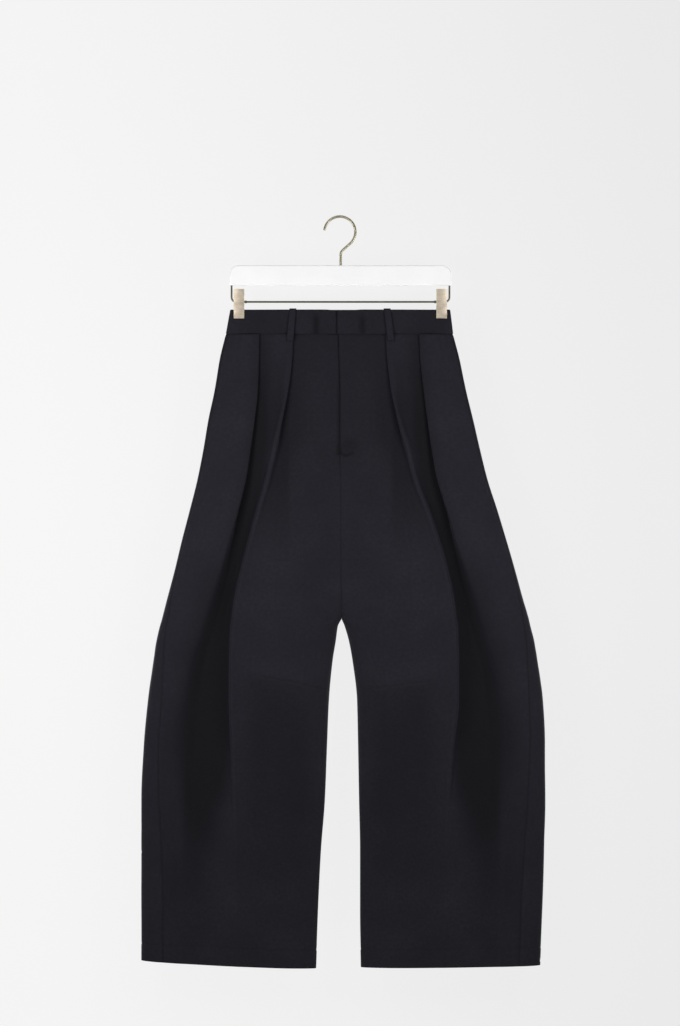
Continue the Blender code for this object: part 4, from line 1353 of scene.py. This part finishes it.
# materials
def toLinear(code):
    values = [int(code[k : k + 2], 16) / 255 for k in (1, 3, 5)]
    return tuple(v / 12.92 if v <= 0.04045 else ((v + 0.055) / 1.055) ** 2.4 for v in values) + (1,)


# inputs take a value, or a (node, output) pair that becomes a link
def feed(tree, node, inputs):
    for name, value in inputs.items():
        if isinstance(value, tuple) and isinstance(value[0], bpy.types.Node):
            tree.links.new(value[0].outputs[value[1]], node.inputs[name])
        else:
            node.inputs[name].default_value = value


def addNode(tree, kind, inputs=None, **settings):
    node = tree.nodes.new(kind)
    for name, value in settings.items():
        setattr(node, name, value)
    feed(tree, node, inputs or {})
    return node


def addNoise(tree, spot, scale, detail, rough=0.5):
    inputs = {"Vector": spot, "Scale": scale, "Detail": detail, "Roughness": rough}
    return addNode(tree, "ShaderNodeTexNoise", inputs), "Fac"


def addRange(tree, value, start, end):
    inputs = {"Value": value, "From Min": start[0], "From Max": start[1], "To Min": end[0], "To Max": end[1]}
    return addNode(tree, "ShaderNodeMapRange", inputs), "Result"


def addBlend(tree, share, a, b):
    return addNode(tree, "ShaderNodeMix", {"Factor": share, "A": a, "B": b}, data_type="FLOAT"), "Result"


def addBump(tree, height, strength, distance, **links):
    inputs = {"Strength": strength, "Distance": distance, "Height": height, **links}
    return addNode(tree, "ShaderNodeBump", inputs), "Normal"


def addTone(tree, factor, *stops):
    node = addNode(tree, "ShaderNodeValToRGB", {"Fac": factor})
    ramp = node.color_ramp
    while len(ramp.elements) < len(stops):
        ramp.elements.new(0.5)
    for element, (position, code) in zip(ramp.elements, stops):
        element.position = position
        element.color = toLinear(code)
    return node, "Color"


def objectSpot(tree):
    return addNode(tree, "ShaderNodeTexCoord"), "Object"


def startMaterial(name):
    material = bpy.data.materials.new(name)
    material.use_nodes = True
    tree = material.node_tree
    return material, tree, tree.nodes["Principled BSDF"]


woolTwill = {
    "dark": "#191920",
    "body": "#1e1d24",
    "light": "#24242b",
    "twillLine": 3.2,  # the real twill is 0.6 mm, drawn coarser to show at all
    # painted shade: the colour the cloth darkens toward, and the share it reaches at full shade
    "deep": "#0a0a0d",
    "paintedShadeShare": 0.78,
    "mottle": 5.5,
    "cloud": 70,
    "roughness": 0.82,
    "sheen": 0.09,
}


# wool twill, woven and lightly milled: matte near-black navy with a faint diagonal and a soft bloom
def makeWool():
    material, tree, shader = startMaterial("milledWoolTwill")
    spot = (addNode(tree, "ShaderNodeUVMap", uv_map="threads"), "UV")
    waves = {"Vector": spot, "Scale": 0.444 / woolTwill["twillLine"], "Distortion": 1.2, "Detail": 2.0}
    waves.update({"Detail Scale": 1.6, "Detail Roughness": 0.6})
    lines = (addNode(tree, "ShaderNodeTexWave", waves, bands_direction="DIAGONAL"), "Fac")
    mottle = addNoise(tree, spot, 1 / woolTwill["mottle"], 5.0, 0.62)
    cloud = addNoise(tree, spot, 1 / woolTwill["cloud"], 3.0)
    grain = addBlend(tree, 0.07, addBlend(tree, 0.4, mottle, cloud), lines)
    tone = addTone(tree, grain, (0.3, woolTwill["dark"]), (0.5, woolTwill["body"]), (0.72, woolTwill["light"]))
    # painted shade: the insides of the folds, which no light reaches, and the seams, dents and cloth hanging back
    # from the light, darken toward the deepest colour
    paintedShade = (addNode(tree, "ShaderNodeAttribute", attribute_name="paintedShade"), "Fac")
    inside = addRange(tree, paintedShade, (0, 1), (0, woolTwill["paintedShadeShare"]))
    colours = {0: inside, 6: tone, 7: toLinear(woolTwill["deep"])}
    shadedTone = addNode(tree, "ShaderNodeMix", colours, data_type="RGBA")
    lineBump = addBump(tree, lines, 0.12, 0.00025)
    surface = {
        "Base Color": (shadedTone, 2),
        "Normal": addBump(tree, mottle, 0.5, 0.0005, Normal=lineBump),
        "Roughness": woolTwill["roughness"],
        "Specular IOR Level": 0.12,
        "Sheen Weight": woolTwill["sheen"],
        "Sheen Roughness": 0.5,
        "Sheen Tint": toLinear("#b8b8cc"),
    }
    feed(tree, shader, surface)
    return material


metalForms = {
    # rolled and bent sheet steel, nickel plated and satin rubbed: a warm soft gleam with fine marks
    "satinChampagneNickel": {"low": "#c1b5a2", "high": "#dccfbc", "grain": 0.9, "rough": (0.45, 0.6)},
    # drawn spring wire with a darker satin plating: grey-brown with a narrow highlight
    "satinPewterWire": {"low": "#a19b87", "high": "#b9b39d", "grain": 1.2, "rough": (0.34, 0.42)},
    # the clips' rod, drawn steel under the same plating, in darker tones than the hook's wire: dark grey-green
    "darkPewterRod": {"low": "#5c5a50", "high": "#747264", "grain": 1.2, "rough": (0.4, 0.5)},
}


def makeMetal(name):
    form = metalForms[name]
    material, tree, shader = startMaterial(name)
    spot = objectSpot(tree)
    # rubbing marks run across a clip and along the wire
    scaled = addNode(tree, "ShaderNodeMapping", {"Vector": spot, "Scale": (120, 900, 900)})
    marks = addNoise(tree, (scaled, "Vector"), form["grain"], 4.0)
    blend = addBlend(tree, 0.4, marks, addNoise(tree, spot, 140.0, 2.0))
    surface = {
        "Base Color": addTone(tree, blend, (0.35, form["low"]), (0.65, form["high"])),
        "Roughness": addRange(tree, marks, (0.3, 0.7), form["rough"]),
        "Normal": addBump(tree, marks, 0.08, 0.0001),
        "Metallic": 1.0,
    }
    feed(tree, shader, surface)
    return material


# turned beech under white satin lacquer: smooth, with the faintest orange peel and no grain showing
def makeLacquer():
    material, tree, shader = startMaterial("whiteSatinLacquer")
    spot = objectSpot(tree)
    cloud = addNoise(tree, spot, 26.0, 3.0)
    surface = {
        "Base Color": addTone(tree, cloud, (0.3, "#fafafa"), (0.7, "#fdfdfd")),
        "Roughness": addRange(tree, cloud, (0.3, 0.7), (0.46, 0.52)),
        "Normal": addBump(tree, addNoise(tree, spot, 700.0, 2.0), 0.08, 0.0002),
    }
    feed(tree, shader, surface)
    return material


dressing = (
    (clothPieces, makeWool(), "cloth"),
    (clipPieces, makeMetal("satinChampagneNickel"), "clip"),
    ([hookPiece], makeMetal("satinPewterWire"), "hook"),
    ([rodPiece], makeMetal("darkPewterRod"), "hook"),
    ([barPiece], makeLacquer(), "bar"),
)
for pieces, material, slotName in dressing:
    for piece in pieces:
        piece.data.materials.clear()
        piece.data.materials.append(material)
        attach(piece, "root")
print("materials made")

# the cut of what shows, in metres: widest, length, and flat area where the cut isn't a rectangle;
# then the pieces that it hangs from
cuts = {
    "rightFrontPanel": (0.304, 1.014, 0.273, "rightWaistband"),
    "leftFrontPanel": (0.317, 1.013, 0.280, "leftWaistband"),
    "rightBackPanel": (0.331, 1.014, 0.289, "rightWaistband"),
    "leftBackPanel": (0.335, 1.013, 0.296, "leftWaistband"),
    "rightWaistband": (0.402, 0.039, None, "clipFrontRight", "clipBackRight"),
    "leftWaistband": (0.367, 0.039, None, "clipFrontLeft", "clipBackLeft"),
    "flyShield": (0.050, 0.194, None, "rightFrontPanel"),
    "loopFrontRight": (0.011, 0.053, None, "rightWaistband"),
    "loopFrontLeft": (0.011, 0.053, None, "leftWaistband"),
    "loopSideRight": (0.011, 0.048, None, "rightWaistband"),
    "loopSideLeft": (0.011, 0.048, None, "leftWaistband"),
    "loopBack": (0.011, 0.048, None, "leftWaistband"),
}
for piece in clothPieces:
    width, length, area, *hangsFrom = cuts[piece.name]

studio = {
    "cameraAt": (-0.0008, -7.0, -0.4722),
    "lens": 153.5,
    "wallY": 0.055,
    "floorZ": -1.75,
    "reach": 6,
    "aim": (0, 0, -0.7),
    "lights": {  # place, width, height, power
        "leftSide": ((-0.62, -0.72, -0.39), 0.4, 0.6, 4.95),
        "rightSide": ((0.62, -0.72, -0.39), 0.4, 0.6, 4.65),
        "overhead": ((-0.2, -1.1, 0.7), 1.4, 0.5, 5.1),
        "behindLeft": ((-1.1, 1.1, -0.5), 0.6, 1.0, 15),
        "behindRight": ((1.1, 1.1, -0.5), 0.6, 1.0, 15),
    },
    "sky": "#ffffff",
    "skyStrength": 0.12,
    # painted light: the wall's own glow, brighter on the left as if lit from that side
    "wallGlow": (0.875, 0.79),  # the pale wall's brightness from left to right
}


def plainFloor():
    material, tree, shader = startMaterial("paleFloor")
    grain = addNoise(tree, objectSpot(tree), 2.0, 2.0)
    feed(tree, shader, {"Base Color": addTone(tree, grain, (0.3, "#ededed"), (0.7, "#f1f1f1")), "Roughness": 0.95})
    return material


# a pale wall lit by its own painted glow, brighter on the left as if lit from that side, that takes only a faint
# shadow, and is open from behind
def glowingWall():
    material, tree, shader = startMaterial("glowingWall")
    across = addNode(tree, "ShaderNodeSeparateXYZ", {"Vector": objectSpot(tree)})
    surface = {
        "Emission Strength": addRange(tree, (across, "X"), (-0.5, 0.5), studio["wallGlow"]),
        "Emission Color": (1, 1, 1, 1),
        "Base Color": (0.05, 0.05, 0.05, 1),
        "Roughness": 0.95,
        "Specular IOR Level": 0.0,
    }
    feed(tree, shader, surface)
    clear = addNode(tree, "ShaderNodeBsdfTransparent")
    sight = addNode(tree, "ShaderNodeNewGeometry")
    both = {"Fac": (sight, "Backfacing"), 1: (shader, "BSDF"), 2: (clear, "BSDF")}
    mix = addNode(tree, "ShaderNodeMixShader", both)
    feed(tree, tree.nodes["Material Output"], {"Surface": (mix, "Shader")})
    return material


def makePlane(name, size, spot, turn, material):
    bpy.ops.object.select_all(action="DESELECT")
    bpy.ops.mesh.primitive_plane_add(size=size, location=spot, rotation=turn)
    plane = bpy.context.active_object
    plane.name = name
    plane.data.materials.append(material)
    return plane


def areaLight(name, at, width, height, power):
    data = bpy.data.lights.new(name, "AREA")
    data.shape = "RECTANGLE"
    data.size = width
    data.size_y = height
    data.energy = power
    lamp = addObject(name, data, at)
    lamp.visible_camera = False
    lamp.rotation_euler = (Vector(studio["aim"]) - Vector(at)).to_track_quat("-Z", "Y").to_euler()


scene = bpy.context.scene
wallSpot = (0, studio["wallY"], studio["floorZ"] + studio["reach"] / 2)
backdrop = makePlane("backdrop", studio["reach"], wallSpot, (math.radians(90), 0, 0), glowingWall())
backdrop.visible_shadow = False
makePlane("floor", 2 * studio["reach"], (0, 0, studio["floorZ"]), (0, 0, 0), plainFloor())
for name, (at, width, height, power) in studio["lights"].items():
    areaLight(name, at, width, height, power)
world = bpy.data.worlds.new("studio")
world.use_nodes = True
sky = world.node_tree.nodes["Background"]
sky.inputs["Color"].default_value = toLinear(studio["sky"])
sky.inputs["Strength"].default_value = studio["skyStrength"]
scene.world = world
scene.view_settings.view_transform = "Standard"

cameraData = bpy.data.cameras.new("camera")
cameraData.sensor_fit = "VERTICAL"
cameraData.sensor_height = 36
cameraData.lens = studio["lens"]
camera = addObject("camera", cameraData, studio["cameraAt"])
camera.rotation_euler = (math.radians(90), 0, 0)
scene.camera = camera
print("studio made")
